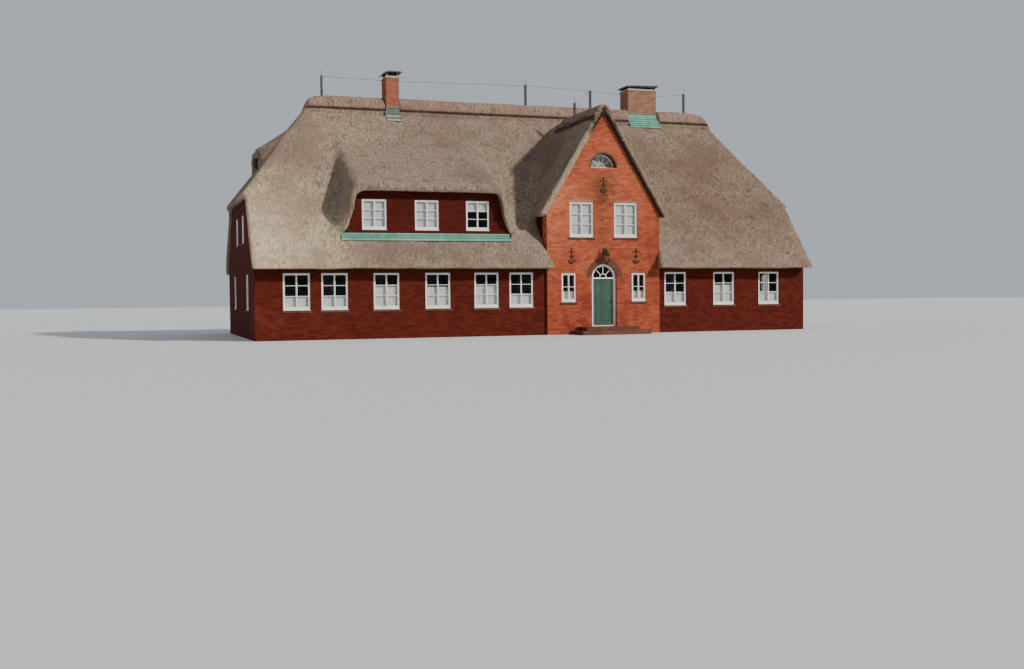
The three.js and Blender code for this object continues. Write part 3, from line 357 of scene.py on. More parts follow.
paint = noisyMaterial("white paint", (0.74, 0.71, 0.63), (0.86, 0.84, 0.77), 3.0, 0.42, 0, 0.001)
greenPaint = noisyMaterial("green paint", (0.03, 0.075, 0.05), (0.045, 0.1, 0.068), 3.0, 0.4, 0, 0.001)
copper = noisyMaterial("green copper", (0.075, 0.25, 0.178), (0.155, 0.375, 0.28), 2.2, 0.75)
dullCopper = noisyMaterial("dull copper", (0.095, 0.118, 0.088), (0.165, 0.19, 0.145), 3.0, 0.8)
zinc = noisyMaterial("pale metal edge", (0.3, 0.28, 0.22), (0.42, 0.39, 0.31), 3.0, 0.75)
oldPlate = noisyMaterial("stained plate", (0.07, 0.066, 0.05), (0.17, 0.155, 0.12), 5.0, 0.8)
iron = noisyMaterial("black iron", (0.018, 0.017, 0.017), (0.045, 0.04, 0.038), 6.0, 0.55, 0.5)
concrete = noisyMaterial("concrete", (0.4, 0.39, 0.36), (0.56, 0.54, 0.5), 1.6, 0.9)
boards = noisyMaterial("floor boards", (0.26, 0.17, 0.1), (0.38, 0.26, 0.16), 2.0, 0.7)
mortar = noisyMaterial("mortar", (0.32, 0.27, 0.22), (0.46, 0.41, 0.35), 8.0, 0.9)
archStone = noisyMaterial("dull arch brick", (0.06, 0.042, 0.03), (0.11, 0.078, 0.055), 8.0, 0.9)
# dark strips on the copper: painted shadow under the folds, with some dirt
seamShadowAndDirt = noisyMaterial("painted shadow and dirt in the seams", (0.02, 0.04, 0.033), (0.045, 0.075, 0.06), 6.0, 0.8)
brassWarm = newMaterial("lamp holder", (0.3, 0.22, 0.12), 0.45, 0.6)[0]
oldWood = noisyMaterial("weathered wood", (0.05, 0.038, 0.03), (0.11, 0.085, 0.068), 12.0, 0.85)
curtainCloth = noisyMaterial("white curtain", (0.84, 0.84, 0.82), (0.92, 0.92, 0.9), 7.0, 0.9)
netCloth = noisyMaterial("pale net", (0.74, 0.75, 0.74), (0.84, 0.85, 0.84), 5.0, 0.9)
paleGlass = glassMaterial("pale pane", (0.24, 0.235, 0.215), 0.08, 0.6, 0.85)
glass = glassMaterial("window glass", (0.012, 0.014, 0.016), 0.04, 0.35, 0.15)
print("materials made")

# Building blocks


def around(centre, half):
    return (centre - half, centre + half)


boxSides = ((0, 2, 3, 1), (4, 5, 7, 6), (0, 1, 5, 4), (1, 3, 7, 5), (3, 2, 6, 7), (2, 0, 4, 6))


def addCorners(form, corners, place=None, look=0):
    verts = [form.verts.new(place @ c if place else c) for c in map(Vector, corners)]
    for ring in boxSides:
        form.faces.new([verts[i] for i in ring]).material_index = look
    return verts


def addBlock(form, x, y, z, place=None, look=0):
    addCorners(form, [(a, b, c) for c in z for b in y for a in x], place, look)


def addCollar(form, centre, outer, inner, z, play=0.0):  # four blocks round a hole, by half sizes
    (x0, x1), (y0, y1) = (around(c, half) for c, half in zip(centre, outer))
    (holeX0, holeX1), (holeY0, holeY1) = (around(c, half) for c, half in zip(centre, inner))
    for y in ((y0, holeY0), (holeY1, y1)):
        addBlock(form, (x0, x1), y, z)
    for x in ((x0, holeX0), (holeX1, x1)):
        addBlock(form, x, (holeY0 + play, holeY1 - play), z)


def addRing(form, centre, radii, y, steps, place, angles=(0, 180), joint=0.0, look=0):
    for step in range(steps):  # stones or segments of a round arch, in degrees
        ends = [angles[0] + (angles[1] - angles[0]) * (step + t) / steps for t in (0, 1)]
        turns = [math.radians(ends[1] - joint), math.radians(ends[0] + joint)]
        corners = [
            (centre[0] + radius * math.cos(turn), depth, centre[1] + radius * math.sin(turn))
            for radius in radii for depth in y for turn in turns
        ]
        addCorners(form, corners, place, look)


def addFan(form, place, height, bars, reach):  # a half-round hub and its spokes
    addRing(form, (0, height), bars["hub"], bars["y"], bars["steps"], place)
    for turn in map(math.radians, bars["turns"]):
        spoke = place @ Matrix.Translation((0, 0, height)) @ Matrix.Rotation(-turn, 4, "Y")
        addBlock(form, (bars["inner"], reach), bars["y"], around(0, bars["wide"] / 2), spoke)


def addCone(form, place, z, radii, sides):
    bmesh.ops.create_cone(
        form, cap_ends=True, segments=sides, radius1=radii[0], radius2=radii[1],
        depth=z[1] - z[0], matrix=place @ Matrix.Translation((0, 0, sum(z) / 2)),
    )


def addRod(form, start, end, radius, sides=10, place=Matrix()):
    start, end = Vector(start), Vector(end)
    turn = (end - start).to_track_quat("Z", "Y").to_matrix().to_4x4()
    bmesh.ops.create_cone(
        form, cap_ends=True, segments=sides, radius1=radius, radius2=radius,
        depth=(end - start).length, matrix=place @ Matrix.Translation((start + end) / 2) @ turn,
    )


def addObject(name, mesh):
    obj = bpy.data.objects.new(name, mesh)
    scene.collection.objects.link(obj)
    return obj


def meshOf(name, form):
    mesh = bpy.data.meshes.new(name)
    form.to_mesh(mesh)
    form.free()
    return mesh


def placeMesh(name, mesh, materials, slotName=None, standsFor=(), body="house"):
    for material in materials:
        mesh.materials.append(material)
    obj = addObject(name, mesh)
    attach(obj, body)
    if standsFor:
        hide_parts(*standsFor)
    return obj


def addPiece(name, form, *details, body="house", bevel=0.0):
    obj = placeMesh(name, meshOf(name, form), *details, body=body)
    if bevel:
        modifier = obj.modifiers.new("edges", "BEVEL")
        modifier.width, modifier.segments = bevel, 1
    return obj


def wallFrame(x, y, turn=0.0):
    return Matrix.Translation((x, y, 0)) @ Matrix.Rotation(turn, 4, "Z")


# Each wall's own frame: x along it, y inward from its outer face
walls = {
    "front": wallFrame(0, -5.0),
    "back": wallFrame(0, 5.0, math.pi),
    "endLeft": wallFrame(-11.5, 0, -math.pi / 2),
    "endRight": wallFrame(11.5, 0, math.pi / 2),
    "gable": wallFrame(2.18, -5.1),
    "dormer": wallFrame(0, -4.7),
    "eyebrow": wallFrame(-10.6, 0, -math.pi / 2),
}
roofSlope = 1.2572


def fade(value, low, high):
    share = min(max((value - low) / (high - low), 0.0), 1.0)
    return share * share * (3 - 2 * share)


def fadeOut(value, low, high):
    return fade(-value, -high, -low)


def band(value, start, full, fullEnd, end):
    return fade(value, start, full) * fadeOut(value, fullEnd, end)


def readOff(points, value):
    for (a, resultA), (b, resultB) in zip(points, points[1:]):
        if value <= b:
            return resultA + (resultB - resultA) * max(value - a, 0) / (b - a)
    return points[-1][1]


# Thatch

gableLine = {"centre": 2.18, "apex": 8.78, "slope": 1.658}
hipLines = {"HipLeft": (-1, 8.5, 1.327), "HipRight": (1, 9.1, 1.664)}  # side, top and slope
thatchLook = {
    "nodes": [
        "thatch_front_left", "thatch_dormer", "thatch_apron", "thatch_front_middle",
        "thatch_front_right", "thatch_back", "thatch_hip_left", "thatch_hip_right",
        "thatch_gable_left", "thatch_gable_right",
    ],
    "voxel": 0.08, "smoothing": 5,
    "waves": 0.03,  # metres, wide and shallow
    "tufts": 0.01,
    "colors": [(0.11, 0.078, 0.058), (0.24, 0.175, 0.126), (0.4, 0.318, 0.238)],
    "patch": (0.15, 0.098, 0.076), "cutEnd": (0.44, 0.345, 0.235),
    "weather": [  # paler to the left and low down
        ((-11.8, -4.6, 3.4), (5.2, 5.4, 4.8), (2.15, 2.3, 2.05), 1.0),
        ((-8.5, -1.5, 7.8), (3.4, 3.0, 2.6), (1.18, 1.18, 1.12), 0.8),
        ((8.5, -3.0, 5.8), (6.5, 5.0, 5.0), (0.8, 0.72, 0.68), 1.0),
    ],
}
heatherLook = {
    "nodes": ["ridge_roll_left", "ridge_roll_middle", "ridge_roll_right", "gable_roll"],
    "voxel": 0.055, "smoothing": 3, "waves": 0.02, "tufts": 0.016,
    "colors": [(0.11, 0.068, 0.05), (0.26, 0.172, 0.128), (0.39, 0.285, 0.215)],
    # dark cut ends: cut heather, darkened as painted shade on the rolls' undersides
    "patch": (0.22, 0.125, 0.092), "cutEnd": (0.16, 0.1, 0.075),
    "weather": [],
    "reedStrip": {"aside": 0.3, "front": -0.5, "top": 9.3},
}
rollShape = {
    "ends": (-9.0, 9.72),  # the rolls sink into the half-hips there
    "endDrop": 0.22, "endReach": 0.45, "endHeight": (8.9, 9.2), "gableHalf": 0.44,
    "gableBulge": 0.075, "bulgeFrom": 0.25, "bulgeFront": (0.9, 1.3),
    "bulgeHeight": (8.5, 8.6),
}
softening = {"factor": 0.5, "waveScale": 0.9, "tuftScale": (6, 3, 3), "margin": 0.002}
thatch = reedMaterial("weathered reed", thatchLook)
heather = reedMaterial("heather", heatherLook)


def gableBulge(place):
    look = rollShape
    side = abs(place.x - gableLine["centre"]) / look["gableHalf"]
    share = min(side * (1 - look["bulgeFrom"]) + look["bulgeFrom"], 1.0)
    share = math.sin(math.pi * share) * fade(-place.y, *look["bulgeFront"])
    return look["gableBulge"] * share * fade(place.z, *look["bulgeHeight"])


def endDrop(place):
    look, (low, high), reach = rollShape, rollShape["ends"], rollShape["endReach"]
    past = max(low + reach - place.x, place.x - high + reach)
    return look["endDrop"] * fade(past, 0.0, reach) ** 2 * fade(place.z, *look["endHeight"])


def softCopy(name, look, rolls=False):
    form = bmesh.new()
    for nodeName in look["nodes"]:
        form.from_mesh(nodes[nodeName].data)
    obj = addObject(name, meshOf(name, form))
    remesh = obj.modifiers.new("remesh", "REMESH")
    remesh.mode, remesh.voxel_size = "VOXEL", look["voxel"]
    smooth = obj.modifiers.new("smooth", "SMOOTH")
    smooth.factor, smooth.iterations = softening["factor"], look["smoothing"]
    mesh = bpy.data.meshes.new_from_object(obj.evaluated_get(bpy.context.evaluated_depsgraph_get()))
    bpy.data.objects.remove(obj)
    margin = softening["margin"]
    low, high = [c + margin for c in cadLow], [c - margin for c in cadHigh]
    for vertex, normal in zip(mesh.vertices, [v.normal.copy() for v in mesh.vertices]):
        place = vertex.co
        tuft = noise.noise(Vector([c * scale for c, scale in zip(place, softening["tuftScale"])]))
        shift = look["waves"] * noise.noise(place * softening["waveScale"]) + look["tufts"] * tuft
        place = place + normal * (shift + (gableBulge(place) if rolls else 0.0))
        place.z -= endDrop(place) if rolls else 0.0
        vertex.co = [min(max(place[i], low[i]), high[i]) for i in range(3)]
    return mesh


# Where reed is cut: pale ends below the eaves and on the front of the gable's left verge; the right
# verge and the top of the left verge keep the darker reed colour as painted shade
cutAndVergeShadeLook = {
    "under": (0.35, 0.75), "facing": (0.55, 0.85), "front": (5.1, 5.19),
    # the top of this band and the side limit are painted shade: no pale ends near the apex or on the
    # right verge
    "height": (4.6, 4.8, 7.55, 8.35), "side": (1.6, 2.05),
    "ragged": [(5.0, 0.6), (14.0, 0.5)],  # scale and strength
    "raggedFrom": 2.0, "edge": (0.25, 0.85),
}


def cutShare(normal, place):
    look = cutAndVergeShadeLook
    verge = fade(-normal.y, *look["facing"]) * fade(-place.y, *look["front"])
    verge *= band(place.z, *look["height"]) * fadeOut(place.x, *look["side"])
    ragged = sum(noise.noise(place * scale) * strength for scale, strength in look["ragged"])
    ragged *= min(1.0, verge * look["raggedFrom"])
    return max(fade(-normal.z, *look["under"]), fade(verge + ragged, *look["edge"]))


# Dark lines below the ridge roll and the gable's roll, and along its brick edge
shadeLook = {
    "ridge": {"y": (0.28, 0.34, 0.39, 0.45), "z": (9.2, 9.25, 9.31, 9.36)},
    "roll": {"side": (0.4, 0.43, 0.49, 0.54), "front": (0.8, 1.2), "z": (8.2, 8.3), "amount": 0.8},
    "verge": {"away": (0.11, 0.17), "front": (5.08, 5.16), "z": (4.62, 4.7), "leftZ": (7.6, 8.3)},
}


def shadeShare(place):
    ridge, roll, edge = shadeLook["ridge"], shadeLook["roll"], shadeLook["verge"]
    centre, apex, slope = gableLine["centre"], gableLine["apex"], gableLine["slope"]
    front, side, z = -place.y, abs(place.x - centre), place.z
    ridgeLine = band(abs(front), *ridge["y"]) * band(z, *ridge["z"])
    rollLine = band(side, *roll["side"]) * fade(front, *roll["front"]) * fade(z, *roll["z"])
    away = (z - (apex - slope * side)) / math.hypot(slope, 1.0)
    verge = fadeOut(away, *edge["away"]) * fade(front, *edge["front"]) * fade(z, *edge["z"])
    verge *= 1.0 if place.x > centre else fade(z, *edge["leftZ"])
    return max(ridgeLine, rollLine * roll["amount"], verge)


def splitOff(mesh, name, chosen, material, slotName, standsFor):
    used = {}
    rings = [[used.setdefault(v, len(used)) for v in polygon.vertices] for polygon in chosen]
    normals = [mesh.vertices[v].normal.copy() for v in used]
    places = [mesh.vertices[v].co.copy() for v in used]
    part = bpy.data.meshes.new(name)
    part.from_pydata(places, [], rings)
    part.shade_smooth()
    part.normals_split_custom_set_from_vertices(normals)
    shares = {"cut": map(cutShare, normals, places), "shade": map(shadeShare, places)}
    for kind, values in shares.items():
        part.attributes.new(kind, "FLOAT", "POINT").data.foreach_set("value", list(values))
    placeMesh(name, part, [material], slotName, standsFor)
    print(name, "faces:", len(rings))


def thatchSide(place):
    for side, (sign, top, slope) in hipLines.items():
        if sign * place.x - top > abs(place.y) * roofSlope / slope:
            return side
    return "Front" if place.y < 0 else "Back"


roofMesh = softCopy("thatchRough", thatchLook)
roofFaces = {"Front": [], "Back": [], "HipLeft": [], "HipRight": []}
for polygon in roofMesh.polygons:
    roofFaces[thatchSide(polygon.center)].append(polygon)
standsFor = {
    "Front": [n for n in thatchLook["nodes"] if "back" not in n and "hip" not in n],
    "Back": ["thatch_back"],
    "HipLeft": ["thatch_hip_left"],
    "HipRight": ["thatch_hip_right"],
}
for side, chosen in roofFaces.items():
    splitOff(roofMesh, "thatch" + side, chosen, thatch, "thatch", standsFor[side])

rollMesh = softCopy("heatherRough", heatherLook, rolls=True)
rollFaces, strip = {True: [], False: []}, heatherLook["reedStrip"]
for polygon in rollMesh.polygons:  # below the roll the ridge is reed
    _, y, z = polygon.center
    isReed = abs(y) > strip["aside"] and y > strip["front"] and z < strip["top"]
    rollFaces[isReed].append(polygon)
splitOff(rollMesh, "ridgeReed", rollFaces[True], thatch, "thatch", heatherLook["nodes"][:3])
splitOff(rollMesh, "heatherRolls", rollFaces[False], heather, "heather", heatherLook["nodes"])
print("thatch made")

# Windows

windowLook = {
    "frame": 0.038, "frameDepth": (0.03, 0.15), "stile": 0.032, "meeting": 0.026,
    "topRail": 0.034, "bottomRail": 0.095, "sashDepth": (0.036, 0.096), "bar": 0.021,
    "barDepth": (0.05, 0.094), "glassDepth": (0.07, 0.075),
    "strip": 0.022,  # over the meeting stiles
    "stripDepth": (0.026, 0.036), "board": 0.0304, "boardDepth": (0.004, 0.034),
    "clear": 0.0004,
    "plate": {"depth": (0.1, 0.3), "rise": (0.001, 0.14)},
    "bevel": 0.003,
}
ground = {"width": 0.988, "bottom": 1.093, "top": 2.453, "rows": 3}
dormerKind = {"width": 0.943, "bottom": 4.071, "top": 5.226, "rows": 3}
gableKind = {"width": 1.01, "bottom": 3.835, "top": 5.23, "rows": 3}
besideDoor = {"width": 0.616, "bottom": 1.276, "top": 2.419, "rows": 2}
endUpper = {"width": 0.943, "bottom": 3.7, "top": 4.8, "rows": 3}
centresAt = {
    "frontLeft": [-9.993, -8.598, -6.65, -4.662, -2.721, -1.296],
    "frontRight": [5.4, 7.65, 9.8],
    "back": [-9.9, -7.4, -4.9, -2.4, 2.4, 4.9, 7.4, 9.9],
    "end": [-2.4, 2.4],
    "endUpper": [-1.15, 1.15],
    "dormer": [-7.011, -4.979, -2.955],
    "gable": [-0.955, 0.955],
    "doorLeft": [-1.52],
    "doorRight": [1.52],
}
windowRows = [  # label, node, wall, centres, kind and how far up each curtain reaches
    ("FrontLeft", "windows_front_left", "front", "frontLeft", ground,
     [0.36, 0.36, 0.66, 0.62, 0.66, 0.38]),
    ("FrontRight", "windows_front_right", "front", "frontRight", ground, [0.4, 0.62, 0.38]),
    ("Back", "windows_back", "back", "back", ground, [1.0] * 8),
    ("EndLeft", "windows_end_left", "endLeft", "end", ground, [0.4] * 2),
    ("EndRight", "windows_end_right", "endRight", "end", ground, [0.4] * 2),
    ("EndUpperLeft", "windows_end_upper_left", "endLeft", "endUpper", endUpper, [1.0] * 2),
    ("EndUpperRight", "windows_end_upper_right", "endRight", "endUpper", endUpper, [1.0] * 2),
    ("Dormer", "windows_dormer", "dormer", "dormer", dormerKind, [1.0, 1.0, (0.66, 1.0)]),
    ("Gable", "windows_gable", "gable", "gable", gableKind, [1.0, 1.0]),
    ("BesideDoorLeft", "window_beside_door_left", "gable", "doorLeft", besideDoor, [0.36]),
    ("BesideDoorRight", "window_beside_door_right", "gable", "doorRight", besideDoor, [0.36]),
]


def addWindow(form, panes, place, kind, centre):
    look, edge, clear = windowLook, windowLook["frame"], windowLook["clear"]
    half, low, high = kind["width"] / 2 - clear, kind["bottom"] + clear, kind["top"] - clear
    x0, x1, bottom, top = centre - half, centre + half, low + edge, high - edge
    paneLow, paneHigh = bottom + look["bottomRail"], top - look["topRail"]
    for x in ((x0, x0 + edge), (x1 - edge, x1)):
        addBlock(form, x, look["frameDepth"], (low, high), place)
    for z in ((low, bottom), (top, high)):
        addBlock(form, (x0 + edge, x1 - edge), look["frameDepth"], z, place)
    addBlock(form, (x0, x1), look["boardDepth"], (low, low + look["board"]), place)
    addBlock(form, around(centre, look["strip"] / 2), look["stripDepth"], (bottom, top), place)
    for side in (-1, 1):  # two casements
        outer = centre + side * (half - edge)
        stiles = [(outer, outer - side * look["stile"]), (centre, centre + side * look["meeting"])]
        stiles = sorted(sorted(stile) for stile in stiles)
        inner = (stiles[0][1], stiles[1][0])
        for stile in stiles:
            addBlock(form, stile, look["sashDepth"], (bottom, top), place)
        for z in ((bottom, paneLow), (paneHigh, top)):
            addBlock(form, inner, look["sashDepth"], z, place)
        for row in range(1, kind["rows"]):
            z = paneLow + (paneHigh - paneLow) * row / kind["rows"]
            addBlock(form, inner, look["barDepth"], around(z, look["bar"] / 2), place)
        addBlock(panes, inner, look["glassDepth"], (paneLow, paneHigh), place)


curtainLook = {
    "depth": 0.135, "swing": 0.011, "netSwing": 0.35,
    "headSwing": 0.55,  # the folds grow from here to the hem
    "fold": 0.085, "perFold": 8,
    "drift": (0.5, 7),  # strength and rate
    "rows": 5, "inset": 0.05, "foot": 0.04, "shorter": 0.1,
    "rod": {"radius": 0.007, "over": 0.012, "clear": 0.002, "sides": 8},
}


def addCurtain(name, place, x, z, cloth):
    look, form, grid = curtainLook, bmesh.new(), []
    count = int((x[1] - x[0]) / look["fold"]) * look["perFold"]
    swing = look["swing"] * (look["netSwing"] if cloth == netCloth else 1.0)
    phase, (drift, rate) = random.uniform(0, math.tau), look["drift"]
    for row in range(look["rows"] + 1):
        v = row / look["rows"]  # 0 at the top
        height, grown = z[1] + (z[0] - z[1]) * v, look["headSwing"] + (1 - look["headSwing"]) * v
        line = []
        for step in range(count + 1):
            u = step / count
            fold = math.tau * step / look["perFold"] + phase + drift * math.sin(rate * u + phase)
            y = look["depth"] + swing * grown * math.sin(fold)
            line.append(form.verts.new(place @ Vector((x[0] + (x[1] - x[0]) * u, y, height))))
        grid.append(line)
    for upper, lower in zip(grid, grid[1:]):
        for i in range(count):
            form.faces.new((lower[i], lower[i + 1], upper[i + 1], upper[i]))
    obj = addPiece(name, form, [cloth])
    obj.data.shade_smooth()


sillLook = {
    "brick": 0.065, "joint": 0.01, "out": 0.035, "uneven": 0.002, "height": 0.085, "gap": 0.003,
    "beyond": 0.06,
}


def addBrickSill(form, place, kind, centre):
    look, half = sillLook, kind["width"] / 2 + sillLook["beyond"]
    count = round(2 * half / (look["brick"] + look["joint"]))
    pitch = 2 * half / count
    for i in range(count):
        x = centre - half + pitch * i + look["joint"] / 2
        out = look["out"] + random.uniform(-look["uneven"], look["uneven"])
        z = (kind["bottom"] - look["height"], kind["bottom"] - look["gap"])
        addBlock(form, (x, x + pitch - look["joint"]), (-out, 0.0), z, place)


def addWindowRow(label, nodeName, wallName, centresName, kind, cloths):
    place, form, panes, sills = walls[wallName], bmesh.new(), bmesh.new(), bmesh.new()
    half, rod, bevel = kind["width"] / 2, curtainLook["rod"], windowLook["bevel"]
    centres = centresAt[centresName]
    spans = [share if isinstance(share, tuple) else (0.0, share) for share in cloths]
    lowest = kind["bottom"] + curtainLook["foot"]
    drop = kind["top"] - kind["bottom"] - curtainLook["shorter"]
    for centre, span in zip(centres, spans):
        addWindow(form, panes, place, kind, centre)
        addBrickSill(sills, place, kind, centre)
        z = lowest + drop * span[1] + rod["over"]
        ends = [(x, curtainLook["depth"], z) for x in around(centre, half - rod["clear"])]
        addRod(form, *ends, rod["radius"], rod["sides"], place)
    if "beside" not in nodeName:
        plate = windowLook["plate"]
        z = [kind["top"] + rise for rise in plate["rise"]]
        addBlock(form, (centres[0] - half, centres[-1] + half), plate["depth"], z, place)
    row = addPiece("windows" + label, form, [paint], "white_paint", [nodeName], bevel=bevel)
    for i, (centre, span) in enumerate(zip(centres, spans)):
        cloth = netCloth if span[1] == 1.0 else curtainCloth
        x = around(centre, half - curtainLook["inset"])
        z = [lowest + drop * share for share in span]
        addCurtain(f"curtain{label}{i + 1}", place, x, z, cloth)
    addPiece("glass" + label, panes, [glass])
    if wallName == "dormer":  # its windows stand on the copper
        sills.free()
    else:
        addPiece("sills" + label, sills, [sillBrick], bevel=bevel)


for windowRow in windowRows:
    addWindowRow(*windowRow)
print("windows made")

# Half-round window in the gable

lunette = {
    "base": 6.605, "radius": 0.55, "clear": 0.001, "y": (0.25, 0.34), "edge": 0.05,
    "lift": 0.0005, "steps": 20,
    "bars": {"hub": (0.138, 0.16), "inner": 0.155, "y": (0.275, 0.325), "wide": 0.022, "steps": 12,
             "turns": (36, 72, 108, 144)},
    "glass": {"inner": 0.02, "y": (0.292, 0.298), "steps": 16, "angles": (3, 177)},
    "arch": {"ring": (0.002, 0.062), "y": (-0.012, 0.0), "stones": 23, "joint": 0.3},
    "lining": {"ring": (-0.006, -0.0008), "stones": 21, "joint": 0.5,  # headers of the reveal
               "y": [(-0.004, 0.118), (0.128, 0.2495)]},
    "bevel": 0.002,
}


def addLunette(look):
    place, form, panes, arch = walls["gable"], bmesh.new(), bmesh.new(), bmesh.new()
    centre, foot, edge = (0.0, look["base"]), look["base"] + look["edge"], look["edge"]
    radius, pane, lining = look["radius"] - look["clear"], look["glass"], look["lining"]
    addRing(form, centre, (radius - edge, radius), look["y"], look["steps"], place)
    addBlock(form, (-radius, radius), look["y"], (look["base"] + look["lift"], foot), place)
    addFan(form, place, foot, look["bars"], radius - edge)
    radii = (pane["inner"], radius - edge / 2)
    addRing(panes, centre, radii, pane["y"], pane["steps"], place, pane["angles"])
    addPiece("lunetteWindow", form, [paint], "white_paint", ["window_lunette"], bevel=look["bevel"])
    addPiece("lunetteGlass", panes, [paleGlass])
    # the reveal's headers take the darker brown brick: painted shade in the reveal
    rings = [(look["arch"], look["arch"]["y"], 0)] + [(lining, y, 1) for y in lining["y"]]
    for part, y, index in rings:
        radii = [look["radius"] + r for r in part["ring"]]
        addRing(arch, centre, radii, y, part["stones"], place, joint=part["joint"], look=index)
    addPiece("lunetteArch", arch, [archStone, sillBrick])


addLunette(lunette)

# Front door: frame, fanlight and panelled leaf

doorLook = {
    "half": 0.536, "fit": 0.0005, "springing": 2.247, "floor": 0.3003, "jamb": 0.095,
    "transom": 0.06, "threshold": 0.035, "frameDepth": (0.1, 0.22), "steps": 20,
    "bars": {"hub": (0.13, 0.155), "inner": 0.15, "y": (0.13, 0.18), "wide": 0.024, "steps": 10,
             "turns": (45, 90, 135)},
    "glass": {"inner": 0.01, "overlap": 0.02, "y": (0.148, 0.154), "steps": 14, "angles": (2, 178)},
    "frameBevel": 0.002, "leafDepth": (0.165, 0.215), "leafHeight": (0.345, 2.179),
    "skin": 0.012, "clear": 0.008, "stile": 0.1,
    "panels": [(0.5, 0.95), (1.06, 1.52), (1.63, 2.06)],
    "panelInset": 0.035, "panelDrop": 0.004,
    "hinge": {"x": -0.437, "y": 0.232, "radius": 0.008, "span": (0.0002, 0.05), "plate": 0.06,
              "sunk": 0.001, "plateTop": 0.226, "heights": (0.62, 1.88)},
    "handle": {"inset": 0.05, "height": 1.3, "out": 0.045, "neck": 0.01, "grip": 0.009,
               "reach": 0.12, "plate": 0.0045, "plateHalf": 0.02, "plateRise": (-0.11, 0.07),
               "bevel": 0.001},
    "arch": {"ring": (0.004, 0.24), "stones": 23, "y": (-0.012, 0), "joint": 0.45, "bevel": 0.003},
}


def addHingeHalves(form, place, hinge, side, face):  # side -1 is below, 1 above
    for height in hinge["heights"]:
        span = sorted(height + side * share for share in hinge["span"])
        addRod(form, *((hinge["x"], hinge["y"], z) for z in span), hinge["radius"], place=place)
        x = sorted((hinge["x"], hinge["x"] + side * hinge["plate"]))
        addBlock(form, x, (face - hinge["sunk"], hinge["plateTop"]), span, place)


def addDoorFrame(look):
    place, form, panes, stones = walls["gable"], bmesh.new(), bmesh.new(), bmesh.new()
    half, inner, y = look["half"] - look["fit"], look["half"] - look["jamb"], look["frameDepth"]
    spring, pane, arch, floor = look["springing"], look["glass"], look["arch"], look["floor"]
    for side in (-1, 1):
        addBlock(form, sorted((side * half, side * inner)), y, (floor, spring), place)
    for z in ((floor, floor + look["threshold"]), (spring - look["transom"], spring)):
        addBlock(form, (-inner, inner), y, z, place)
    addRing(form, (0, spring), (inner, half), y, look["steps"], place)
    addFan(form, place, spring, look["bars"], inner)
    radii = (pane["inner"], inner + pane["overlap"])
    addRing(panes, (0, spring), radii, pane["y"], pane["steps"], place, pane["angles"])
    addHingeHalves(form, place, look["hinge"], -1, y[1])
    addPiece("doorFrame", form, [paint], "white_paint", ["door_frame"], bevel=look["frameBevel"])
    addPiece("doorFanlight", panes, [glass])
    radii = [look["half"] + r for r in arch["ring"]]
    addRing(stones, (0, spring), radii, arch["y"], arch["stones"], place, joint=arch["joint"])
    addPiece("doorArch", stones, [sillBrick], bevel=arch["bevel"])


def addDoorLeaf(look):
    place, leaf = walls["gable"], bmesh.new()
    width = look["half"] - look["jamb"] - look["clear"]
    (front, behind), (low, high) = look["leafDepth"], look["leafHeight"]
    skin, stile, inset, drop = look["skin"], look["stile"], look["panelInset"], look["panelDrop"]
    addBlock(leaf, (-width, width), (front + skin, behind - skin), (low, high), place)
    middle = stile / 2
    edges = [low] + [edge for pair in look["panels"] for edge in pair] + [high]
    for y, panelY in (
        ((front, front + skin), (front + drop, front + skin)),
        ((behind - skin, behind), (behind - skin, behind - drop)),
    ):
        for x in ((-width, stile - width), (width - stile, width), (-middle, middle)):
            addBlock(leaf, x, y, (low, high), place)
        for x in ((stile - width, -middle), (middle, width - stile)):
            for rail in zip(edges[::2], edges[1::2]):
                addBlock(leaf, x, y, rail, place)
            for foot, head in look["panels"]:
                z = (foot + inset, head - inset)
                addBlock(leaf, (x[0] + inset, x[1] - inset), panelY, z, place)
    addHingeHalves(leaf, place, look["hinge"], 1, behind)
    addPiece("doorLeaf", leaf, [greenPaint], "green_paint", ["door_leaf"], body="door")
    addDoorHandle(look["handle"], place, width, ((front, -1), (behind, 1)))


def addDoorHandle(look, place, width, faces):
    form, x, z = bmesh.new(), width - look["inset"], look["height"]
    for face, side in faces:
        out = face + side * look["out"]
        addRod(form, (x, face, z), (x, out, z), look["neck"], place=place)
        grip = [(a, out, z) for a in (x + look["grip"], x - look["reach"])]
        addRod(form, *grip, look["grip"], place=place)
        plateY = sorted((face, face + side * look["plate"]))
        plateZ = [z + rise for rise in look["plateRise"]]
        addBlock(form, around(x, look["plateHalf"]), plateY, plateZ, place)
    addPiece("doorHandle", form, [iron], "iron", body="door", bevel=look["bevel"])


addDoorFrame(doorLook)
addDoorLeaf(doorLook)
print("door made")

# Copper aprons in folded strips

copperLook = {
    "ridge": 9.72, "lift": 0.003,
    "rise": (0.007, 0.02),  # of each strip at its upper and lower end
    "seamShadowAndDirt": 0.022, "seamRise": 0.004, "welt": 0.018, "weltRise": 0.024, "inset": 0.045,
    "upstand": {"y": (-0.014, -0.0055), "z": (0.006, 0.15)},
    "lip": {"y": (-0.018, -0.0142), "z": (0.13, 0.154)},
}
aprons = [  # which strips are pale
    ("apronLeft", "flashing_left", [dullCopper, zinc, seamShadowAndDirt], [0, 0, 1, 0, 1]),
    ("apronRight", "flashing_right", [copper, copper, seamShadowAndDirt], [0, 0, 0, 0, 0]),
]


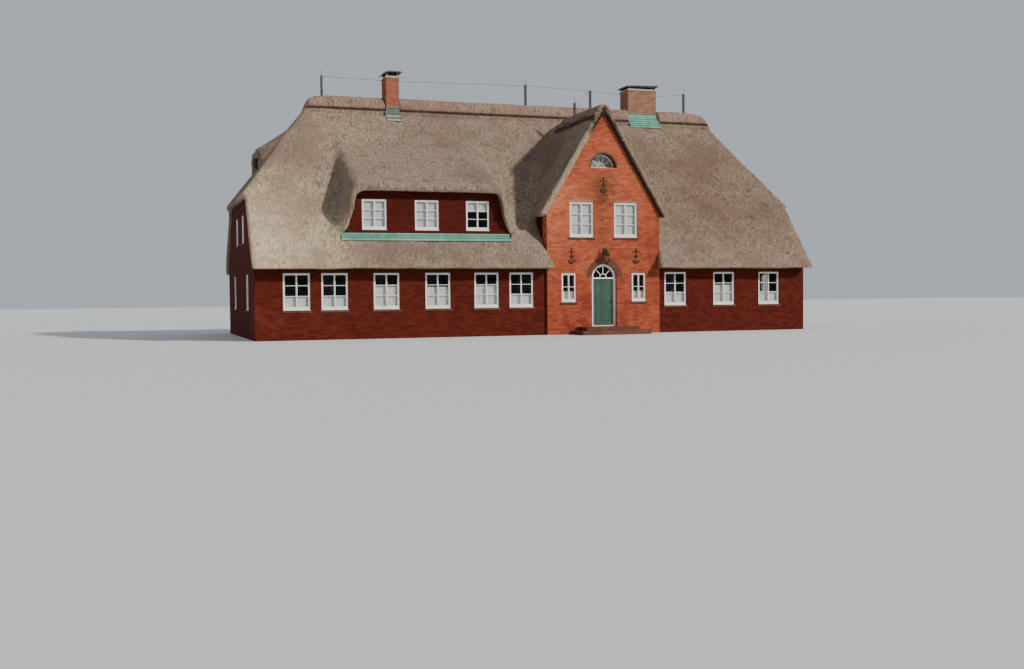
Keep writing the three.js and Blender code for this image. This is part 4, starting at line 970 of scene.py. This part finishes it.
def addFoldedApron(name, nodeName, metals, strips):
    look, form, (low, high) = copperLook, bmesh.new(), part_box(nodeName)
    fall = Vector((0, -1, -roofSlope)).normalized()
    out = Vector((0, -roofSlope, 1)).normalized()
    top = Vector((0, high.y, look["ridge"] - roofSlope * abs(high.y) + look["lift"]))
    length = (high.y - low.y) / -fall.y

    def addStrip(x, along, rises, metal):
        start, end = (top + fall * (length * share) for share in along)
        ends = (end, start, end + out * rises[1], start + out * rises[0])
        addCorners(form, [(a, p.y, p.z) for p in ends for a in x], look=metal)

    lip = look["seamShadowAndDirt"] / length
    for i, metal in enumerate(strips):
        along = (i / len(strips), (i + 1) / len(strips) - lip)
        addStrip((low.x, high.x), along, look["rise"], metal)
        # a dark strip under each fold: painted shadow and dirt
        addStrip((low.x, high.x), (along[1], along[1] + lip), [look["seamRise"]] * 2, 2)
    for x in ((low.x, low.x + look["welt"]), (high.x - look["welt"], high.x)):
        addStrip(x, (0, 1), [look["weltRise"]] * 2, 0)
    # the dark lip along the top is painted shadow and dirt
    for part, metal in ((look["upstand"], 0), (look["lip"], 2)):
        y, z = [high.y + c for c in part["y"]], [top.z + c for c in part["z"]]
        addBlock(form, (low.x + look["inset"], high.x - look["inset"]), y, z, look=metal)
    addPiece(name, form, metals, "copper", [nodeName])


for apron in aprons:
    addFoldedApron(*apron)

dormerCopper = {
    "half": 3.3, "centre": -4.98,
    "profile": [(-4.702, 3.958), (-4.724, 3.955), (-4.744, 3.888), (-4.762, 3.884), (-4.782, 3.802),
                (-4.802, 3.797), (-4.82, 3.728), (-4.846, 3.662)],
    "thick": 0.008, "strips": 6, "welt": 0.012,
    "seams": [(-4.764, 3.884), (-4.804, 3.797), (-4.848, 3.676)],
    "seamDepth": 0.004, "seamHeight": 0.026,
}


def addDormerCopper(look):
    form, count = bmesh.new(), look["strips"]
    edges = [look["centre"] + look["half"] * (2 * i / count - 1) for i in range(count + 1)]
    bands = [(x, -look["thick"], 0.0) for x in zip(edges, edges[1:])]
    bands += [(around(x, look["welt"]), 0.0, look["welt"]) for x in edges[1:-1]]
    for x, low, high in bands:
        for ends in zip(look["profile"][1:], look["profile"]):
            addCorners(form, [(a, y, z + up) for up in (low, high) for y, z in ends for a in x])
    # dark strips under the folds: painted shadow and dirt
    for y, z in look["seams"]:
        depth, height = (y - look["seamDepth"], y), (z - look["seamHeight"], z)
        addBlock(form, (edges[0], edges[-1]), depth, height, look=1)
    addPiece("apronDormer", form, [copper, seamShadowAndDirt], "copper", ["flashing_dormer"])


addDormerCopper(dormerCopper)
print("copper made")

# Laid bricks, standing a little proud of their mortar

brickFields = {
    "wallHeight": (0.0, 2.598), "endHeight": (0.0, 5.62), "gableHeight": (0.0, 8.725),
    "dormerHeight": (3.966, 5.626), "leftOfGable": (-11.5, -0.262),
    "rightOfGable": (4.622, 11.5), "back": (-11.5, 11.5),
    "roof": (9.155, 5.0),  # the slopes' underside over the end walls, and half of their width
    "gable": (8.775, 2.437, 4.735),
    "hood": [(3.96, 3.26), (4.17, 3.13), (4.354, 3.05), (4.779, 2.93), (5.51, 2.79), (5.64, 2.64)],
    "hoodCentre": -4.93, "smallest": 0.06,
    "shortest": 0.04,  # what is shorter stays mortar
    "narrowest": 0.002, "spareRow": 0.2, "clear": 0.003, "archClear": 0.004, "slack": 0.01,
    "steps": [(1.453, 0.15), (1.153, 0.3)],  # half width and top
}


def addBrickField(form, place, heights, endsAt, gapsAt):
    look, fields, tone = brickLook, brickFields, form.verts.layers.float["tone"]
    course, length, joint, least = look["course"], look["length"], look["joint"], fields["smallest"]
    for row in range(int((heights[1] - heights[0]) / course + fields["spareRow"])):
        z = (heights[0] + row * course, heights[0] + (row + 1) * course)
        starts, stops = zip(endsAt(z[0]), endsAt(z[1]))
        edges = [starts] + [edge for gap in sorted(gapsAt(*z)) for edge in gap] + [stops]
        shift = row % 2 * length / 2
        for start, stop in zip(edges[::2], edges[1::2]):
            first = math.ceil((max(start) + least - shift) / length)
            last = math.floor((min(stop) - least - shift) / length)
            cuts = [start] + [(n * length + shift,) * 2 for n in range(first, last + 1)] + [stop]
            for left, right in zip(cuts, cuts[1:]):
                if right[0] - left[0] < fields["shortest"]:
                    continue
                corners = []
                for a, b, height in zip(left, right, (z[0] + joint, z[1] - joint)):
                    ends = (a + joint, max(b - joint, a + joint + fields["narrowest"]))
                    corners += [(x, y, height) for y in (-look["proud"], 0.0) for x in ends]
                value = random.random()
                for vert in addCorners(form, corners, place):
                    vert[tone] = value


def newBricks():
    form = bmesh.new()
    form.verts.layers.float.new("tone")
    return form


def flatEnds(*ends):
    return lambda z: ends


def evenGap(centre, half):
    return ((centre - half,) * 2, (centre + half,) * 2)


def windowGaps(kind, *names, withSill=True):
    half, clear = kind["width"] / 2, brickFields["clear"]
    centres = [c for name in names for c in centresAt[name]]
    sillFoot = kind["bottom"] - sillLook["height"] - clear

    def gapsAt(low, high):
        if high > kind["bottom"] and low < kind["top"]:
            return [evenGap(c, half + clear) for c in centres]
        if withSill and high > sillFoot and low < kind["bottom"]:
            return [evenGap(c, half + sillLook["beyond"] + clear) for c in centres]
        return []
    return gapsAt


def allGaps(*makers):
    return lambda low, high: [gap for gapsAt in makers for gap in gapsAt(low, high)]


def roundGap(centreZ, radius):
    def halfAt(z):
        return math.sqrt(max(radius * radius - (z - centreZ) ** 2, 0.0)) if z > centreZ else radius

    def gapsAt(low, high):
        if high <= centreZ + brickFields["slack"] or low >= centreZ + radius:
            return []
        a, b = halfAt(low), halfAt(high)
        return [((-a, -b), (a, b))]
    return gapsAt


def doorGap(low, high):
    look, spring = brickFields, doorLook["springing"]
    for half, top in look["steps"]:
        if low < top - look["slack"]:
            return [evenGap(0, half)]
    if high <= spring + look["slack"]:
        return [evenGap(0, doorLook["half"] + look["clear"])]
    radius = doorLook["half"] + doorLook["arch"]["ring"][1] + look["archClear"]
    return roundGap(spring, radius)(low, high)


def gableEnds(z):
    apex, half, shoulder = brickFields["gable"]
    reach = half * min((apex - z) / (apex - shoulder), 1.0)
    return (-reach, reach)


def endEnds(z):
    ridge, most = brickFields["roof"]
    reach = min((ridge - z) / roofSlope, most)
    return (-reach, reach)


def hoodEnds(z):
    return around(brickFields["hoodCentre"], readOff(brickFields["hood"], z))


def addWallBricks(name, laid, slotName, *fields):
    form = newBricks()
    for wallName, heights, endsAt, gapsAt in fields:
        addBrickField(form, walls[wallName], brickFields[heights], endsAt, gapsAt)
    addPiece(name, form, [laid], slotName)


frontFields = [
    ("front", "wallHeight", flatEnds(*brickFields[ends]), windowGaps(ground, name))
    for ends, name in (("leftOfGable", "frontLeft"), ("rightOfGable", "frontRight"))
]
addWallBricks("bricksFront", wallLaid, "dark_brick", *frontFields)
backField = ("back", "wallHeight", flatEnds(*brickFields["back"]), windowGaps(ground, "back"))
addWallBricks("bricksBack", wallLaid, "dark_brick", backField)
endGaps = allGaps(windowGaps(ground, "end"), windowGaps(endUpper, "endUpper"))
for side in ("Left", "Right"):
    endField = ("end" + side, "endHeight", endEnds, endGaps)
    addWallBricks("bricksEnd" + side, wallLaid, "dark_brick", endField)
lunetteRadius = lunette["radius"] + lunette["arch"]["ring"][1] + brickFields["clear"]
gableGaps = allGaps(
    doorGap, windowGaps(besideDoor, "doorLeft", "doorRight"), windowGaps(gableKind, "gable"),
    roundGap(lunette["base"], lunetteRadius),
)
gableField = ("gable", "gableHeight", gableEnds, gableGaps)
addWallBricks("bricksGable", gableLaid, "orange_brick", gableField)
dormerGaps = windowGaps(dormerKind, "dormer", withSill=False)
dormerField = ("dormer", "dormerHeight", hoodEnds, dormerGaps)
addWallBricks("bricksDormer", dormerLaidShaded, "dark_brick", dormerField)
print("wall bricks laid")

# Chimneys: laid bricks, a mortar crown and a cowl slab that has settled askew

stacks = {
    "Left": {
        "x": (-5.52, -4.97), "y": (-0.4, 0.4), "top": 10.68, "brick": stackRedLaid,
        "cowl": (-5.64, -4.84), "cowlDepth": 0.47, "rise": 0.18, "plate": 0.045,
        "sag": [0.11, 0.02, 0.0, 0.0, 0.0, 0.0, 0.01], "liner": 0.165, "look": oldPlate,
    },
    "Right": {
        "x": (5.59, 6.98), "y": (-0.17, 0.67), "top": 10.76, "brick": stackPinkLaid,
        "cowl": (5.515, 7.055), "cowlDepth": 0.455, "rise": 0.105, "plate": 0.075,
        "sag": [0.04, 0.02, 0.01, 0.004, 0.0, -0.005, -0.025], "liner": 0.08, "look": iron,
    },
}
stackLook = {
    "foot": 9.845, "behindFoot": 9.24, "overApron": 0.006, "underTop": 0.002,
    "shortRow": 0.3,
    "crown": {"z": (-0.055, -0.001), "out": 0.028, "play": 0.0005, "bevel": 0.004},
    "cap": {"z": (0.001, 0.03), "inset": 0.01, "flue": 0.15},
    "liner": {"foot": 0.031, "inset": (0.1, 0.12), "wall": 0.02},
    "legs": {"half": 0.03, "inset": 0.06, "foot": 0.0305},
    "weld": 0.0001,
}


def addStack(side, stack):
    look, low = stackLook, side.lower()
    (x0, x1), (y0, y1), top = stack["x"], stack["y"], stack["top"]
    centre, halves = ((x0 + x1) / 2, (y0 + y1) / 2), ((x1 - x0) / 2, (y1 - y0) / 2)
    high = top + look["crown"]["z"][0] - look["underTop"]
    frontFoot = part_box("flashing_" + low)[1].z + look["overApron"]
    faces = [
        (wallFrame(centre[0], y0), halves[0], frontFoot),
        (wallFrame(centre[0], y1, math.pi), halves[0], look["behindFoot"]),
        (wallFrame(x0, centre[1], -math.pi / 2), halves[1], look["foot"]),
        (wallFrame(x1, centre[1], math.pi / 2), halves[1], look["foot"]),
    ]
    bricks = newBricks()
    for place, half, foot in faces:
        rows = round((high - foot) / brickLook["course"] - look["shortRow"])
        heights = (high - rows * brickLook["course"], high)
        addBrickField(bricks, place, heights, flatEnds(-half, half), allGaps())
    addPiece("bricksStack" + side, bricks, [stack["brick"]], "chimney_brick")

    crown, ring, cap = bmesh.new(), look["crown"], look["cap"]
    outer, inner = ([half + ring[key] for half in halves] for key in ("out", "play"))
    addCollar(crown, centre, outer, inner, [top + rise for rise in ring["z"]], ring["play"])
    outer = [half - cap["inset"] for half in halves]
    addCollar(crown, centre, outer, [cap["flue"]] * 2, [top + rise for rise in cap["z"]])
    addPiece("crown" + side, crown, [mortar], bevel=ring["bevel"])

    liner, lining = bmesh.new(), look["liner"]
    inner = [half - inset for half, inset in zip(halves, lining["inset"])]
    outer = [half + lining["wall"] for half in inner]
    addCollar(liner, centre, outer, inner, (top + lining["foot"], top + stack["liner"]))
    addPiece("liner" + side, liner, [iron])

    slab, steps, legs = bmesh.new(), len(stack["sag"]) - 1, look["legs"]
    base, (left, right) = top + stack["rise"], stack["cowl"]
    sagAt = [(left + (right - left) * i / steps, drop) for i, drop in enumerate(stack["sag"])]
    y = around(centre[1], stack["cowlDepth"])
    for pair in zip(sagAt, sagAt[1:]):
        rises = (base, base + stack["plate"])
        addCorners(slab, [(x, w, rise - drop) for rise in rises for w in y for x, drop in pair])
    bmesh.ops.remove_doubles(slab, verts=slab.verts, dist=look["weld"])
    for legX in (x0 + legs["inset"], x1 - legs["inset"]):
        for legY in (y0 + legs["inset"], y1 - legs["inset"]):
            z = (top + legs["foot"], base - readOff(sagAt, legX))
            addBlock(slab, around(legX, legs["half"]), around(legY, legs["half"]), z)
    addPiece("cowl" + side, slab, [stack["look"]], "iron", ["chimney_cowl_" + low])


for side, stack in stacks.items():
    addStack(side, stack)
print("chimneys made")

# Lantern and wall anchors

lanternLook = {
    "sides": 6, "braceSides": 8, "lampSides": 10,
    "out": 0.22,
    "cones": [  # heights, and the radii at both ends
        ((2.722, 2.745), (0.012, 0.04)), ((2.745, 2.83), (0.04, 0.052)),
        ((2.83, 2.85), (0.058, 0.11)), ((3.11, 3.13), (0.135, 0.17)),
        ((3.13, 3.24), (0.172, 0.105)), ((3.24, 3.335), (0.075, 0.04)),
        ((3.335, 3.35), (0.045, 0.045)), ((3.35, 3.511), (0.016, 0.006)),
    ],
    "corners": [(0.103, 2.85), (0.128, 3.11)],  # radius and height
    "bar": 0.008,
    "glass": ((2.852, 3.108), (0.091, 0.116)),
    "lamp": [((2.854, 2.95), (0.022, 0.018)), ((2.951, 3.02), (0.03, 0.012))],
    "arm": ((-0.012, 0.012), (-0.22, -0.026), (3.292, 3.316)),
    "plate": ((-0.04, 0.04), (-0.025, -0.006), (3.185, 3.415)),
    "brace": ((0, -0.026, 3.2), (0, -0.15, 3.292)),
}
anchors = {
    "anchorUpper": ("wall_anchor_upper", 0, 5.604),
    "anchorLeft": ("wall_anchor_left", -1.395, 2.783),
    "anchorRight": ("wall_anchor_right", 1.395, 2.783),
}
anchorLook = {
    "depth": (-0.028, -0.006),
    "shaft": (0.017, (0.02, 0.555)),
    "cross": (0.105, (0.47, 0.502)),
    "crossDepth": (-0.024, -0.006),
    "crossEnds": (0.125, (0.456, 0.516)),
    "eye": ((0, 0.59), (0.016, 0.036), 12, (0, 360)),  # centre, radii, steps and angles
    "bow": ((0, 0.14), (0.1, 0.138), 14, (200, 340)),
    "scroll": ((0.05, 0.3), (0.018, 0.034), 10, (0, 360)),
    "fluke": {"place": (0.112, 0.11), "turn": 0.45, "ends": [(-0.03, 0.042), (0.06, 0.006)]},
    "bevel": 0.002,
}


def addLantern(look):
    form, panes, lamp, wall = bmesh.new(), bmesh.new(), bmesh.new(), walls["gable"]
    place = wall @ Matrix.Translation((0, -look["out"], 0))
    for z, radii in look["cones"]:
        addCone(form, place, z, radii, look["sides"])
    for turn in (math.tau * i / look["sides"] for i in range(look["sides"])):
        ends = [(r * math.cos(turn), r * math.sin(turn), z) for r, z in look["corners"]]
        addRod(form, *ends, look["bar"], look["sides"], place)
    addCone(panes, place, *look["glass"], look["sides"])
    for z, radii in look["lamp"]:
        addCone(lamp, place, z, radii, look["lampSides"])
    addBlock(form, *look["arm"], wall)
    addBlock(form, *look["plate"], wall)
    addRod(form, *look["brace"], look["bar"], look["braceSides"], wall)
    addPiece("lantern", form, [iron], "iron", ["lantern"])
    addPiece("lanternGlass", panes, [glass])
    addPiece("lanternLamp", lamp, [brassWarm])


def addAnchor(look, name, nodeName, x, z):
    form, place, depth = bmesh.new(), walls["gable"] @ Matrix.Translation((x, 0, z)), look["depth"]

    def addRound(side, centre, radii, steps, angles):
        addRing(form, (side * centre[0], centre[1]), radii, depth, steps, place, angles)

    (shaft, shaftZ), (cross, crossZ), (tip, tipZ) = look["shaft"], look["cross"], look["crossEnds"]
    addBlock(form, around(0, shaft), depth, shaftZ, place)
    addBlock(form, around(0, cross), look["crossDepth"], crossZ, place)
    for side in (-1, 1):
        addBlock(form, sorted((side * cross, side * tip)), depth, tipZ, place)
    addRound(1, *look["eye"])
    addRound(1, *look["bow"])
    fluke, (away, rise) = look["fluke"], look["fluke"]["place"]
    corners = [(a, y, c) for c, half in fluke["ends"] for y in depth for a in (-half, half)]
    for side in (-1, 1):  # flukes and the scrolls over them
        turn = Matrix.Rotation(side * fluke["turn"], 4, "Y")
        addCorners(form, corners, place @ Matrix.Translation((side * away, 0, rise)) @ turn)
        addRound(side, *look["scroll"])
    addPiece(name, form, [iron], "iron", [nodeName], bevel=look["bevel"])


addLantern(lanternLook)
for name, details in anchors.items():
    addAnchor(anchorLook, name, *details)
print("iron made")

# Glazing under the eyebrow

eyebrowLook = {
    "heads": [(0, 7.31), (0.6, 7.3), (1, 7.2), (1.25, 7.06), (1.5, 6.86), (1.8, 6.6), (1.9, 6.52)],
    "fit": 0.002, "foot": 6.404, "half": 1.898, "edge": 0.045,
    "bars": [-1.6, -1.2, -0.8, -0.4, 0.0, 0.4, 0.8, 1.2, 1.6],
    "barHalf": 0.018,
    "barReach": (0.02, 0.01),  # aside for its head, and up into the frame
    "shortest": 0.03, "y": (0.004, 0.086), "barDepth": (0.016, 0.086),
    "glassDepth": (0.04, 0.046), "glassEdge": 0.027,
}


def addEyebrowGlazing(look):
    place, form, panes = walls["eyebrow"], bmesh.new(), bmesh.new()
    half, edge, rim, foot = look["half"], look["edge"], look["glassEdge"], look["foot"]
    low = foot + edge
    outer = {side * v for v, _ in look["heads"][:-1] for side in (-1, 1)}
    marks = sorted(outer | set(look["bars"]) | {-half, half})

    def headAt(v):
        return readOff(look["heads"], abs(v)) - look["fit"]

    def addSlant(target, x, feet, heads, depth):
        corners = [(v, y, z) for pair in (feet, heads) for y in depth for v, z in zip(x, pair)]
        addCorners(target, corners, place)

    addBlock(form, (-half, half), look["y"], (foot, low), place)
    for x in zip(marks, marks[1:]):
        heads = [headAt(v) for v in x]
        addSlant(form, x, [max(h - edge, low) for h in heads], heads, look["y"])
        addSlant(panes, x, [foot + rim] * 2, [h - rim for h in heads], look["glassDepth"])
    aside, into = look["barReach"]
    for v in look["bars"]:
        head = min(headAt(v - aside), headAt(v + aside)) - edge
        if head > low + look["shortest"]:
            addBlock(form, around(v, look["barHalf"]), look["barDepth"], (low, head + into), place)
    addPiece("eyebrowFrame", form, [paint], "white_paint", ["window_eyebrow"])
    addPiece("eyebrowGlass", panes, [glass])


addEyebrowGlazing(eyebrowLook)
print("eyebrow glazed")

# Finishes for the solids that stay as they are

finishes = [
    (wallBed, "front_wall_left front_wall_right back_wall"),
    (endBed, "end_wall_left end_wall_right"),
    (dormerBedShaded, "dormer_wall"),
    (wallBrick, "cheek_wall_left cheek_wall_right"),
    (gableBed, "gable_wall_left gable_wall_right gable_wall_upper"),
    (sillBrick, "entrance_steps"),
    (stackBed, "chimney_left chimney_right"),
    (stackBrick, "chimney_base_left chimney_base_right"),
    (oldWood, "conductor_left conductor_middle conductor_right"),
    (concrete, "ground_floor"),
    (boards, "upper_floor"),
]
for material, nodeNames in finishes:
    for nodeName in nodeNames.split():
        nodes[nodeName].data.materials.clear()
        nodes[nodeName].data.materials.append(material)

floorLook = {"color": (0.62, 0.62, 0.61), "roughness": 0.9, "reach": 150.0, "level": -0.002}


def addFloor(look):
    form, reach, z = bmesh.new(), look["reach"], look["level"]
    corners = [(-reach, -reach, z), (reach, -reach, z), (reach, reach, z), (-reach, reach, z)]
    form.faces.new([form.verts.new(corner) for corner in corners])
    mesh = meshOf("floor", form)
    mesh.materials.append(newMaterial("pale floor", look["color"], look["roughness"])[0])
    addObject("floor", mesh)


addFloor(floorLook)
